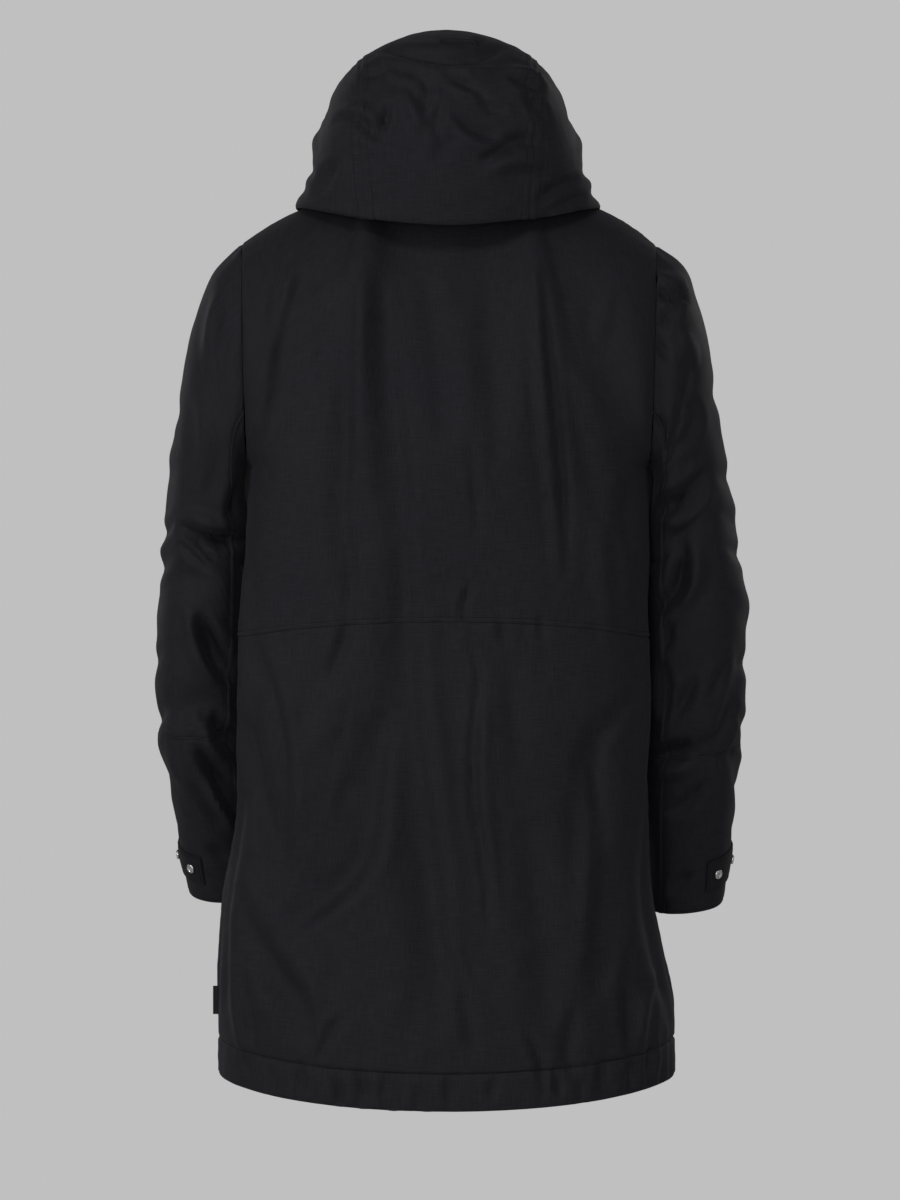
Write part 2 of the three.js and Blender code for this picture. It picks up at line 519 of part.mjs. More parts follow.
// A closed wall of cloth between two faces. lift raises it off the surface, facing turns it round.
function clothWall(surface, us, vs, normal, finish = {}) {
  const { thickness = CLOTH, lift = 0, trim = SEAM_GAP / 2, facing = 1 } = finish;
  const base = trimmedGrid(surface, us, vs, trim);
  const lastU = us.length - 1;
  const lastV = vs.length - 1;
  const positions = [];
  us.forEach((u, i) => {
    vs.forEach((v, j) => {
      const out = normal(u, v);
      positions.push(...base[i][j].clone().addScaledVector(out, lift).toArray());
      positions.push(...base[i][j].clone().addScaledVector(out, lift - thickness).toArray());
    });
  });
  const faces = [];
  const index = (i, j, inner) => (i * (lastV + 1) + j) * 2 + inner;
  const quad = (a, b, c, d) => {
    if (facing > 0) faces.push(a, b, c, a, c, d);
    else faces.push(a, c, b, a, d, c);
  };
  for (let i = 0; i < lastU; i += 1) {
    for (let j = 0; j < lastV; j += 1) {
      quad(index(i, j, 0), index(i + 1, j, 0), index(i + 1, j + 1, 0), index(i, j + 1, 0));
      quad(index(i, j, 1), index(i, j + 1, 1), index(i + 1, j + 1, 1), index(i + 1, j, 1));
    }
    quad(index(i, 0, 0), index(i, 0, 1), index(i + 1, 0, 1), index(i + 1, 0, 0));
    quad(index(i, lastV, 0), index(i + 1, lastV, 0), index(i + 1, lastV, 1), index(i, lastV, 1));
  }
  for (let j = 0; j < lastV; j += 1) {
    quad(index(0, j, 0), index(0, j + 1, 0), index(0, j + 1, 1), index(0, j, 1));
    quad(index(lastU, j, 0), index(lastU, j, 1), index(lastU, j + 1, 1), index(lastU, j + 1, 0));
  }
  const geometry = new THREE.BufferGeometry();
  geometry.setAttribute("position", new THREE.BufferAttribute(new Float32Array(positions), 3));
  geometry.setIndex(faces);
  return geometry;
}

const parka = new THREE.Group();
parka.name = "parka";

function addPiece(name, geometry, finish) {
  const mesh = new THREE.Mesh(geometry, new THREE.MeshStandardMaterial(finish));
  mesh.name = name;
  parka.add(mesh);
  return mesh;
}

// Body panels
function bodyNormal(turn, rise) {
  if (rise <= 2) return normalOf(body, turn, rise, ALL_ROUND, [0, 2], 1);
  return normalOf(body, turn, rise, turn >= 0 ? [0, 180] : [-180, 0], [2, 3], 1);
}

function addBodyPanel(name, turns, rises) {
  addPiece(name, clothWall(body, turns, rises, bodyNormal), SHELL);
}

const HEM_TO_WAIST = steps(0, 1, 13);
const WAIST_TO_TOP = [...steps(1, 2, 6), ...steps(2, 3, ARMHOLE_STEPS).slice(1)];
const HEM_TO_TOP = [...HEM_TO_WAIST, ...WAIST_TO_TOP.slice(1)];
const LEFT_TURNS = [...steps(0, SHOULDER_ANGLE, 7), ...steps(SHOULDER_ANGLE, 90, NECK_STEPS).slice(1)];
const RIGHT_TURNS = LEFT_TURNS.map((turn) => 180 - turn).reverse();
const BACK_TURNS = [...LEFT_TURNS, ...RIGHT_TURNS.slice(1)];
const FRONT_LEFT_TURNS = LEFT_TURNS.map((turn) => -Math.max(turn, FRONT_SIDE)).reverse();
const FRONT_RIGHT_TURNS = RIGHT_TURNS.map((turn) => -turn).reverse();
addBodyPanel("back_lower", BACK_TURNS, HEM_TO_WAIST);
addBodyPanel("back_upper", BACK_TURNS, WAIST_TO_TOP);
addBodyPanel("front_left", FRONT_LEFT_TURNS, HEM_TO_TOP);
addBodyPanel("front_right", FRONT_RIGHT_TURNS, HEM_TO_TOP);

// Sleeves, each of an outer and an under panel above and below the elbow seam
function addSleevePanel(name, side, turns, ats) {
  const surface = (turn, at) => {
    const point = sleeve(side, turn, at);
    point.x += side * SEAM_GAP * (1 - ease(at, ...ARMHOLE_GAP_RUN));
    return point;
  };
  const normal = (turn, at) => {
    const out = normalOf(surface, turn, at, ALL_ROUND, [0, sleeveEnd(side)], -side);
    if (at === 0) out.x = side * Math.min(side * out.x, 0);
    return out.normalize();
  };
  addPiece(name, clothWall(surface, turns, ats, normal, { facing: -side }), SHELL);
}

function addSleeve(side, sideName) {
  const elbow = side > 0 ? ELBOW_LEFT : ELBOW_RIGHT;
  const topTurns = steps(-HIND_SEAM, HIND_SEAM, (2 * HIND_SEAM) / ARMHOLE_TURN);
  const underTurns = steps(HIND_SEAM, 360 - HIND_SEAM, (360 - 2 * HIND_SEAM) / ARMHOLE_TURN);
  const upper = [...steps(0, 100, 4), ...steps(100, elbow, 13).slice(1)];
  const lower = steps(elbow, sleeveEnd(side), 7);
  addSleevePanel(`sleeve_${sideName}_upper_top`, side, topTurns, upper);
  addSleevePanel(`sleeve_${sideName}_upper_under`, side, underTurns, upper);
  addSleevePanel(`sleeve_${sideName}_lower_top`, side, topTurns, lower);
  addSleevePanel(`sleeve_${sideName}_lower_under`, side, underTurns, lower);
}

// Cuff tab of one sleeve, held by two snaps
function addTab(side, sideName) {
  const tab = (turn, up) => {
    const level = sleeveEnd(side) - TAB.aboveCuff + TAB.slope * (turn - TAB.level);
    return sleeve(side, turn, level + (up * TAB.height) / 2);
  };
  const tabNormal = (turn, up) => normalOf(tab, turn, up, ALL_ROUND, [-1, 1], -side);
  const finish = { thickness: TRIM_CLOTH, lift: TRIM_CLOTH + TAB.lift, facing: -side };
  const wall = clothWall(tab, steps(TAB.from, TAB.to, 6), [-1, 0, 1], tabNormal, finish);
  addPiece(`cuff_tab_${sideName}`, wall, TRIM);

  const profile = [
    [0, 0],
    [SNAP.radius, 0],
    [SNAP.radius, SNAP.height / 2],
    [SNAP.rim, SNAP.height],
    [SNAP.eye, SNAP.height],
    [SNAP.eye, SNAP.dish],
    [0, SNAP.dish],
  ].map(([radius, height]) => new THREE.Vector2(radius, height));
  SNAP.turns.forEach((turn, k) => {
    const snap = addPiece(`snap_${sideName}_${k + 1}`, new THREE.LatheGeometry(profile, SNAP.sides), METAL);
    const out = tabNormal(turn, 0);
    snap.quaternion.setFromUnitVectors(new THREE.Vector3(0, 1, 0), out);
    snap.position.copy(tab(turn, 0)).addScaledVector(out, TRIM_CLOTH + TAB.lift + SEAM_GAP);
  });
}

for (const [side, sideName] of [[1, "left"], [-1, "right"]]) {
  addSleeve(side, sideName);
  addTab(side, sideName);
}

// Collar
const collarNormal = (turn, up) => normalOf(collar, turn, up, ALL_ROUND, [0, 1], 1);
addPiece("collar", clothWall(collar, steps(-90, 270, NECK_STEPS * 4), steps(0, 1, 3), collarNormal), SHELL);

// Hood of two side panels and a middle panel, with the patch of its cord slot
const hoodNormal = (column, at) => normalOf(hood, column, at, [0, 180], [0, HOOD_TOP], 1);

function addHoodPanel(name, columns) {
  addPiece(name, clothWall(hood, columns, HOOD_ATS, hoodNormal, { trim: HOOD_TRIM }), SHELL);
}

addHoodPanel("hood_left", steps(0, HOOD_SEAM_COLUMN, 9));
addHoodPanel("hood_centre", steps(HOOD_SEAM_COLUMN, 180 - HOOD_SEAM_COLUMN, 10));
addHoodPanel("hood_right", steps(180 - HOOD_SEAM_COLUMN, 180, 9));
const patchFinish = { thickness: SLOT.cloth, lift: SLOT.cloth + SEAM_GAP };
const patch = clothWall(hood, steps(...SLOT.columns, 3), steps(...SLOT.ats, 2), hoodNormal, patchFinish);
addPiece("hood_slot_patch", patch, TRIM);

// Front flap, over the meeting edges of the two fronts and of the collar
const flapNormal = (x, rise) => normalOf(frontAt, x, rise, [-60, 60], [0, 3 + FLAP.head], 1);
const flapRises = [FLAP.foot, ...HEM_TO_TOP.slice(1), ...steps(3, 3 + FLAP.head, 3).slice(1)];
const flapFinish = { thickness: FLAP_CLOTH, lift: FLAP_CLOTH + FLAP.lift };
const flapColumns = steps(FLAP.right, FLAP.left, 4);
addPiece("front_flap", clothWall(frontAt, flapColumns, flapRises, flapNormal, flapFinish), SHELL);

// Bare woven label in the left side seam
const labelShape = new THREE.BoxGeometry(LABEL.stands, LABEL.thickness, LABEL.height);
const label = addPiece("side_label", labelShape, TRIM);
label.position.copy(body(0, LABEL.rise)).add(new THREE.Vector3(LABEL.stands / 2 + 2 * SEAM_GAP, 0, 0));

export default parka;
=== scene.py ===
"""A black hooded parka as it is worn, hood up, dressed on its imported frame.

The forms are worked out in millimetres, in the frame of the part: +Z up, the back at +Y and the
wearer's left at +X. A turn is in degrees, 0 at a ring's outer side and 90 at the back.
"""

from __future__ import annotations

import logging
import math
from dataclasses import dataclass, field
from enum import Enum
from typing import Callable

import bmesh
import bpy
import numpy as np
from mathutils import Matrix, Vector

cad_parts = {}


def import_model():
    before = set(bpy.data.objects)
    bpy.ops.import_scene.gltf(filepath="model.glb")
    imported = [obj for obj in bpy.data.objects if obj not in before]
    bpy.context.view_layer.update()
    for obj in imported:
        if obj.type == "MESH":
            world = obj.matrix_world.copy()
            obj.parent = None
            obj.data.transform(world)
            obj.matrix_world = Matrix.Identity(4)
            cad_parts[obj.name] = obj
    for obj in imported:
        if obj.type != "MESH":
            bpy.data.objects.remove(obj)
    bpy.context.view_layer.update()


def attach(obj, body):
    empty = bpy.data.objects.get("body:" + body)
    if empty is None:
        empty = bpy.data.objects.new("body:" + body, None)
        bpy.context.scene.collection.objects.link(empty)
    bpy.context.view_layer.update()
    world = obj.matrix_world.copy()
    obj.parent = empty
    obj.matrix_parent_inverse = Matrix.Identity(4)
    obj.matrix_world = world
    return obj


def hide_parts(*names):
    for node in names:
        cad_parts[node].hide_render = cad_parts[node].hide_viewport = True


Array = np.ndarray
Form = Callable[[Array, Array], Array]

MM = 0.001
BODY_NAME = "root"
log = logging.getLogger("parka")


def ease(value: Array, low: float, high: float) -> Array:
    """Return 0 below low, 1 above high and a smooth rise between."""
    share = np.clip((value - low) / (high - low), 0.0, 1.0)
    return share * share * (3.0 - 2.0 * share)


def unit(vectors: Array) -> Array:
    """Return the vectors at length 1."""
    return vectors / np.maximum(np.linalg.norm(vectors, axis=-1, keepdims=True), 1e-9)


def join(x: Array, y: Array, z: Array) -> Array:
    """Return points from their three coordinates."""
    return np.stack(np.broadcast_arrays(x, y, z), axis=-1).astype(float)


def cosine(turn: Array) -> Array:
    """Return the cosine of a turn in degrees."""
    return np.cos(np.radians(turn))


def sine(turn: Array) -> Array:
    """Return the sine of a turn in degrees."""
    return np.sin(np.radians(turn))


def ripple(points: Array, length: float, seed: float) -> Array:
    """Return an uneven wave over space, between about -1 and 1.

    Args:
        points: places in millimetres.
        length: usual length of one wave.
        seed: shifts the wave, so that pieces differ.
    """
    x, y, z = (points[..., axis] * (2.0 * math.pi / length) for axis in range(3))
    first = np.sin(x * 0.93 + 1.7 * np.sin(z * 0.41 + seed) + seed)
    second = np.sin(z * 0.71 + 1.3 * np.sin(y * 0.57 - seed) + x * 0.38 + 2.1 * seed)
    third = np.sin(y * 1.11 - z * 0.53 + 1.1 * np.sin(x * 0.67 + seed) - seed)
    return (first + second + third) / 3.0


def crumples(points: Array, length: float, seed: float) -> Array:
    """Return small uneven wrinkles with sharp crests, between about -1 and 1.

    Args:
        points: places in millimetres.
        length: twice the usual distance of two crests.
        seed: shifts the wrinkles, so that pieces differ.
    """
    x, y, z = (points[..., axis] * (2.0 * math.pi / length) for axis in range(3))
    bent = 2.4 * ripple(points, 2.6 * length, seed + 5.0)
    first = 1.0 - 2.0 * np.abs(np.sin(0.8 * x + 0.35 * z + bent + seed))
    second = 1.0 - 2.0 * np.abs(np.sin(0.55 * z - 0.4 * x + 0.5 * y - bent - seed))
    return first * second + 0.35 * (first + second)


@dataclass(frozen=True)
class Table:
    """Rows of sizes. The first column is the place, and the others are read at any place."""

    columns: tuple[str, ...]
    rows: tuple[tuple[float, ...], ...]

    def at(self, column: str, place: Array) -> Array:
        """Return one column on a smooth curve through its rows.

        Args:
            column: name of the column.
            place: places in the units of the first column.

        Returns:
            The column's values at those places.
        """
        rows = np.array(self.rows)
        places = rows[:, 0]
        values = rows[:, self.columns.index(column)]
        before = np.maximum(np.arange(len(places)) - 1, 0)
        after = np.minimum(np.arange(len(places)) + 1, len(places) - 1)
        slopes = (values[after] - values[before]) / (places[after] - places[before])
        row = np.searchsorted(places[1:-1], place, side="left")
        step = places[row + 1] - places[row]
        share = np.clip((place - places[row]) / step, 0.0, 1.0)
        rise = values[row + 1] - values[row]
        bend = slopes[row] * step * (1 - share) - slopes[row + 1] * step * share + rise * (2 * share - 1)
        return values[row] + rise * share + share * (1 - share) * bend


class Edge(Enum):
    """The four edges of a panel, by the grid line that lies on them."""

    FIRST_COLUMN = "first column"
    LAST_COLUMN = "last column"
    FIRST_ROW = "first row"
    LAST_ROW = "last row"


class View(Enum):
    """The side that a crease is seen from, as an outward direction."""

    BACK = (0.0, 1.0, 0.0)
    FRONT = (0.0, -1.0, 0.0)
    LEFT = (1.0, 0.0, 0.0)
    RIGHT = (-1.0, 0.0, 0.0)
    TOP = (0.0, 0.0, 1.0)


@dataclass(frozen=True)
class Crease:
    """A soft ridge or trough along a curve, drawn in the plane of one view.

    The plane's first coordinate is X from the back and front, and Y from the sides. The second is
    Z, or Y from the top. A height below 0 makes a trough. lean makes one flank gentler, and power
    below 2 makes the crest sharper.
    """

    path: tuple[tuple[float, float], ...]
    width: float
    height: float
    lean: float = 0.0
    power: float = 2.0

    def curve(self) -> tuple[Array, Array]:
        """Return the path as a smooth line of points, with the length up to each."""
        path = np.array(self.path, dtype=float)
        places = np.concatenate([[0.0], np.cumsum(np.linalg.norm(np.diff(path, axis=0), axis=1))])
        table = Table(("place", "a", "b"), tuple(zip(places, path[:, 0], path[:, 1])))
        fine = np.linspace(0.0, places[-1], 4 * len(path) - 3)
        line = np.stack([table.at("a", fine), table.at("b", fine)], axis=-1)
        lengths = np.concatenate([[0.0], np.cumsum(np.linalg.norm(np.diff(line, axis=0), axis=1))])
        return line, lengths

    def heights(self, a: Array, b: Array) -> Array:
        """Return the height of the crease at points of its plane."""
        line, lengths = self.curve()
        result = np.zeros(a.shape)
        low, high = line.min(axis=0) - 3.0 * self.width, line.max(axis=0) + 3.0 * self.width
        near = (a > low[0]) & (a < high[0]) & (b > low[1]) & (b < high[1])
        if not near.any():
            return result
        a, b = a[near], b[near]
        nearest = np.full(a.shape, np.inf)
        place = np.zeros(a.shape)
        side = np.ones(a.shape)
        for start, end, before, after in zip(line[:-1], line[1:], lengths[:-1], lengths[1:]):
            run = end - start
            share = np.clip(((a - start[0]) * run[0] + (b - start[1]) * run[1]) / (run @ run), 0.0, 1.0)
            off_a, off_b = a - start[0] - share * run[0], b - start[1] - share * run[1]
            distance = np.hypot(off_a, off_b)
            closer = distance < nearest
            nearest = np.where(closer, distance, nearest)
            place = np.where(closer, before + share * (after - before), place)
            side = np.where(closer, np.sign(off_a * run[1] - off_b * run[0]), side)
        bulge = np.sin(math.pi * np.clip(place / lengths[-1], 0.0, 1.0))
        off = nearest / (self.width * (0.6 + 0.4 * bulge) * (1.0 + self.lean * side))
        flanks = np.exp(-1.6 * (off - 1.9) ** 2)
        result[near] = self.height * bulge**0.7 * (np.exp(-(off**self.power)) - 0.22 * flanks)
        return result


Creases = dict[View, tuple[Crease, ...]]


def ridge(*path: tuple[float, float], wide: float, high: float, lean: float = 0.0, power: float = 2.0) -> Crease:
    """Return a crease that stands out of the cloth."""
    return Crease(path, wide, high, lean, power)


def trough(*path: tuple[float, float], wide: float, deep: float, lean: float = 0.0, power: float = 2.0) -> Crease:
    """Return a crease that sinks into the cloth."""
    return Crease(path, wide, -deep, lean, power)


def crease_heights(creases: Creases, points: Array, normals: Array) -> Array:
    """Return the sum of all creases, each faded where the cloth turns away from its view."""
    total = np.zeros(points.shape[:-1])
    for view, lines in creases.items():
        towards = normals @ np.array(view.value)
        shown = ease(towards, 0.12, 0.55)
        first = points[..., 1] if view in (View.LEFT, View.RIGHT) else points[..., 0]
        second = points[..., 1] if view is View.TOP else points[..., 2]
        for line in lines:
            total += line.heights(first, second) * shown
    return total


@dataclass(frozen=True)
class Seam:
    """How a panel is finished along one edge, in millimetres.

    rows are the distances of the stitch lines from the edge, raised is the lift of the folded cloth
    between edge and last row, roll is how far the edge itself turns in, and groove and groove_width
    are what the thread pulls in along each row.
    """

    edge: Edge
    rows: tuple[float, ...] = ()
    raised: float = 0.0
    roll: float = 0.55
    groove: float = 0.75
    groove_width: float = 1.3
    pucker: float = 0.5
    pucker_length: float = 17.0
    reach: float = 16.0


def spread(line: Callable[[Array], Array], ends: tuple[float, float], pitch: float, marks: Array) -> Array:
    """Return grid places that lie evenly on the cloth, and closer at both ends and at marks.

    Args:
        line: the form's points over an array of places, along the first axis.
        ends: first and last place.
        pitch: usual distance of two places, in millimetres.
        marks: millimetres from the start, or below 0 from the end, where a stitch line lies.
    """
    fine = np.linspace(*ends, 181)
    steps = np.linalg.norm(np.diff(line(fine), axis=0), axis=-1).mean(axis=1)
    lengths = np.concatenate([[0.0], np.cumsum(steps)])
    length = lengths[-1]
    tight = {0.0, 0.9, 2.2, 4.0, length - 4.0, length - 2.2, length - 0.9, length}
    for mark in marks:
        from_start = mark % length
        tight |= {from_start - 1.4, from_start, from_start + 1.4}
    ordered = sorted(place for place in tight if 0.0 <= place <= length)
    places: list[float] = []
    for low, high in zip(ordered[:-1], ordered[1:]):
        count = max(1, round((high - low) / pitch))
        places.extend(np.linspace(low, high, count, endpoint=False))
    places.append(ordered[-1])
    return np.interp(places, lengths, fine)


class ClothGrid:
    """A panel's outer face as a grid of points, with its creases, puckers and seams."""

    def __init__(
        self,
        form: Form,
        columns: tuple[float, float],
        rows: tuple[float, float],
        facing: int = 1,
        creases: Creases | None = None,
        seams: tuple[Seam, ...] = (),
        pitch: float = 3.8,
        lift: float = 0.0,
        soft: float = 0.7,
        drape: float = 1.0,
        seed: float = 1.0,
    ) -> None:
        """Work out the points.

        Args:
            form: the solid's form, from a column and a row place to a point.
            columns: first and last column place.
            rows: first and last row place.
            facing: 1 where columns and rows turn anticlockwise seen from outside.
            creases: ridges and troughs by view.
            seams: finishes along the edges.
            pitch: usual distance of two grid lines, in millimetres.
            lift: how far the face lies outside the form.
            soft: height of the broad unevenness of the cloth.
            drape: how strong the creases are.
            seed: shifts the unevenness.
        """
        marks = {edge: [row for seam in seams if seam.edge is edge for row in seam.rows] for edge in Edge}
        across = np.array(marks[Edge.FIRST_COLUMN] + [-row for row in marks[Edge.LAST_COLUMN]])
        down = np.array(marks[Edge.FIRST_ROW] + [-row for row in marks[Edge.LAST_ROW]])
        some_columns, some_rows = np.linspace(*columns, 9), np.linspace(*rows, 9)
        self.columns = spread(lambda fine: form(fine[:, None], some_rows[None, :]), columns, pitch, across)
        self.rows = spread(lambda fine: form(some_columns[None, :], fine[:, None]), rows, pitch, down)
        self.facing, self.seams = facing, seams
        u, v = np.meshgrid(self.columns, self.rows, indexing="ij")
        base = form(u, v)
        self.along_u = self.lengths(base, 0)
        self.along_v = self.lengths(base, 1)
        normals = self.normals_of(base)
        heights = drape * crease_heights(creases or {}, base, normals) + lift
        heights += soft * ripple(base, 95.0, seed) + 0.5 * soft * crumples(base, 74.0, seed + 2.0)
        for seam in seams:
            heights += self.seam_heights(seam, seed)
        self.points = base + normals * heights[..., None]
        self.normals = self.normals_of(self.points)

    @staticmethod
    def lengths(points: Array, axis: int) -> Array:
        """Return the length along the cloth from the grid's first line."""
        steps = np.linalg.norm(np.diff(points, axis=axis), axis=-1)
        start = np.zeros_like(np.take(steps, [0], axis=axis))
        return np.concatenate([start, np.cumsum(steps, axis=axis)], axis=axis)

    def normals_of(self, points: Array) -> Array:
        """Return the outward normals of the grid."""
        across = np.gradient(points, axis=0)
        down = np.gradient(points, axis=1)
        return self.facing * unit(np.cross(across, down))

    def distances(self, edge: Edge) -> tuple[Array, Array]:
        """Return each point's distance from an edge and its place along it."""
        along_u, along_v = self.along_u, self.along_v
        if edge is Edge.FIRST_COLUMN:
            return along_u, along_v
        if edge is Edge.LAST_COLUMN:
            return along_u[-1:, :] - along_u, along_v
        if edge is Edge.FIRST_ROW:
            return along_v, along_u
        return along_v[:, -1:] - along_v, along_u

    def seam_heights(self, seam: Seam, seed: float) -> Array:
        """Return what one seam adds: rolled edge, raised band, stitch grooves and puckers."""
        away, along = self.distances(seam.edge)
        heights = -seam.roll * np.exp(-((away / 2.0) ** 2))
        if seam.rows:
            band = max(seam.rows)
            heights += seam.raised * (1.0 - ease(away, band, band + 3.0))
        for row in seam.rows:
            heights -= seam.groove * np.exp(-(((away - row) / seam.groove_width) ** 2))
        wave = np.sin(along * 2.0 * math.pi / seam.pucker_length + 2.0 * np.sin(along / 31.0 + seed))
        uneven = 0.55 + 0.45 * np.sin(along / 47.0 + 3.0 * seed)
        heights += seam.pucker * wave * uneven * np.exp(-away / seam.reach) * ease(away, 0.0, 3.0)
        return heights

    def line(self, edge: Edge, distance: float) -> tuple[Array, Array]:
        """Return points and normals on a line at one distance from an edge."""
        away, _ = self.distances(edge)
        points, normals = self.points, self.normals
        if edge in (Edge.FIRST_ROW, Edge.LAST_ROW):
            away, points, normals = away.T, points.swapaxes(0, 1), normals.swapaxes(0, 1)
        if edge in (Edge.LAST_COLUMN, Edge.LAST_ROW):
            away, points, normals = away[::-1], points[::-1], normals[::-1]
        picked = []
        for field_values in (points, normals):
            lines = [
                [np.interp(distance, away[:, k], field_values[:, k, axis]) for axis in range(3)]
                for k in range(away.shape[1])
            ]
            picked.append(np.array(lines))
        return picked[0], unit(picked[1])

    def place(self, column: float, row: float) -> tuple[Array, Array]:
        """Return the point and the normal at one place of the form."""
        i = int(np.argmin(np.abs(self.columns - column)))
        j = int(np.argmin(np.abs(self.rows - row)))
        return self.points[i, j], self.normals[i, j]

    def mesh(self, name: str) -> bpy.types.Mesh:
        """Return the outer face as a mesh in metres, with its length and width as UV."""
        bm = bmesh.new()
        bmesh.ops.create_grid(bm, x_segments=len(self.columns) - 1, y_segments=len(self.rows) - 1, size=1.0)
        if self.facing < 0:
            bmesh.ops.reverse_faces(bm, faces=bm.faces)
        mesh = bpy.data.meshes.new(name)
        bm.to_mesh(mesh)
        bm.free()
        points = self.points.swapaxes(0, 1).reshape(-1, 3) * MM
        mesh.vertices.foreach_set("co", points.ravel())
        corner = np.empty(len(mesh.loops), dtype=np.int32)
        mesh.loops.foreach_get("vertex_index", corner)
        width = np.broadcast_to(self.along_u.mean(axis=1)[:, None], self.along_u.shape)
        length = np.broadcast_to(self.along_v.mean(axis=0)[None, :], self.along_v.shape)
        flat = np.stack([width.T.ravel(), length.T.ravel()], axis=-1) * MM
        mesh.uv_layers.new(name="cloth").data.foreach_set("uv", flat[corner].astype(np.float32).ravel())
        mesh.shade_smooth()
        mesh.update()
        return mesh

    def flat_size(self) -> tuple[float, float, float]:
        """Return the greatest width and length and the area of the cloth, in metres."""
        width = float(self.along_u[-1].max()) * MM
        length = float(self.along_v[:, -1].max()) * MM
        area = float(self.along_u[-1].mean() * self.along_v[:, -1].mean()) * MM**2
        return width, length, min(max(area, 0.32 * width * length), width * length)


class Nodes:
    """Small helper that builds shader nodes and links them."""

    def __init__(self, tree: bpy.types.NodeTree) -> None:
        """Keep the tree that the nodes go into."""
        self.tree = tree

    def add(self, kind: str, links: dict[str | int, object] | None = None, **settings: object) -> bpy.types.Node:
        """Return a new node.

        Args:
            kind: the node's type name.
            links: what each input holds, a value or another node's output.
            settings: the node's own properties.
        """
        node = self.tree.nodes.new(kind)
        for key, value in settings.items():
            setattr(node, key, value)
        for key, value in (links or {}).items():
            if isinstance(value, bpy.types.NodeSocket):
                self.tree.links.new(value, node.inputs[key])
            else:
                node.inputs[key].default_value = value
        return node

    def math(self, operation: str, first: object, second: object = 0.0, third: object = 0.0) -> bpy.types.NodeSocket:
        """Return the output of a Math node."""
        return self.add("ShaderNodeMath", {0: first, 1: second, 2: third}, operation=operation).outputs[0]


def shader_group(name: str, inputs: dict[str, float], outputs: dict[str, str]) -> tuple[Nodes, dict, Callable]:
    """Return a new node group's helper, its input sockets and a call that fills its outputs.

    Args:
        name: the group's name.
        inputs: each input's name and usual value.
        outputs: each output's name and socket type.
    """
    tree = bpy.data.node_groups.new(name, "ShaderNodeTree")
    for key, value in inputs.items():
        tree.interface.new_socket(key, in_out="INPUT", socket_type="NodeSocketFloat").default_value = value
    for key, kind in outputs.items():
        tree.interface.new_socket(key, in_out="OUTPUT", socket_type=kind)
    nodes = Nodes(tree)
    group_in = tree.nodes.new("NodeGroupInput")
    group_out = tree.nodes.new("NodeGroupOutput")

    def fill(values: dict[str, bpy.types.NodeSocket]) -> None:
        """Link the given sockets to the group's outputs."""
        for key, socket in values.items():
            tree.links.new(socket, group_out.inputs[key])

    return nodes, {key: group_in.outputs[key] for key in inputs}, fill


def weave_group() -> bpy.types.NodeTree:
    """Return the group that gives a plain weave's height and its threads' tone, from the UV."""
    nodes, given, fill = shader_group(
        "PlainWeave",
        {"Pitch": 0.0006, "Slub": 0.3},
        {"Height": "NodeSocketFloat", "Tone": "NodeSocketFloat"},
    )
    place = nodes.add("ShaderNodeUVMap", uv_map="cloth").outputs[0]
    parts = nodes.add("ShaderNodeSeparateXYZ", {0: place})
    warp = nodes.math("DIVIDE", parts.outputs[0], given["Pitch"])
    weft = nodes.math("DIVIDE", parts.outputs[1], given["Pitch"])
    warp_wave = nodes.math("SINE", nodes.math("MULTIPLY", warp, math.pi))
    weft_wave = nodes.math("SINE", nodes.math("MULTIPLY", weft, math.pi))
    over = nodes.math("MULTIPLY", warp_wave, weft_wave)
    warp_round = nodes.math("ABSOLUTE", nodes.math("SINE", nodes.math("MULTIPLY", warp, math.pi)))
    weft_round = nodes.math("ABSOLUTE", nodes.math("SINE", nodes.math("MULTIPLY", weft, math.pi)))
    threads = nodes.math("MAXIMUM", warp_round, weft_round)
    height = nodes.math("MULTIPLY_ADD", over, 0.4, threads)
    long_warp = nodes.add("ShaderNodeMapping", {"Vector": place, "Scale": (1300.0, 48.0, 1.0)}).outputs[0]
    long_weft = nodes.add("ShaderNodeMapping", {"Vector": place, "Scale": (48.0, 1300.0, 1.0)}).outputs[0]
    warp_tone = nodes.add("ShaderNodeTexNoise", {"Vector": long_warp, "Scale": 1.0, "Detail": 2.0}).outputs[0]
    weft_tone = nodes.add("ShaderNodeTexNoise", {"Vector": long_weft, "Scale": 1.0, "Detail": 2.0}).outputs[0]
    tone = nodes.math("MULTIPLY", nodes.math("ADD", warp_tone, weft_tone), 0.5)
    slubbed = nodes.math("MULTIPLY_ADD", tone, given["Slub"], height)
    fill({"Height": slubbed, "Tone": tone})
    return nodes.tree


def patina_group() -> bpy.types.NodeTree:
    """Return the group that gives soft patches of tone and fine crumple, from the object's place."""
    nodes, given, fill = shader_group(
        "HandledCloth",
        {"Patch": 7.0, "Crumple": 38.0},
        {"Patches": "NodeSocketFloat", "Crumples": "NodeSocketFloat"},
    )
    place = nodes.add("ShaderNodeTexCoord").outputs["Object"]
    patches = nodes.add("ShaderNodeTexNoise", {"Vector": place, "Scale": given["Patch"], "Detail": 4.0}).outputs[0]
    crumples = nodes.add(
        "ShaderNodeTexNoise",
        {"Vector": place, "Scale": given["Crumple"], "Detail": 3.0, "Roughness": 0.45, "Distortion": 0.7},
    ).outputs[0]
    fill({"Patches": patches, "Crumples": crumples})
    return nodes.tree


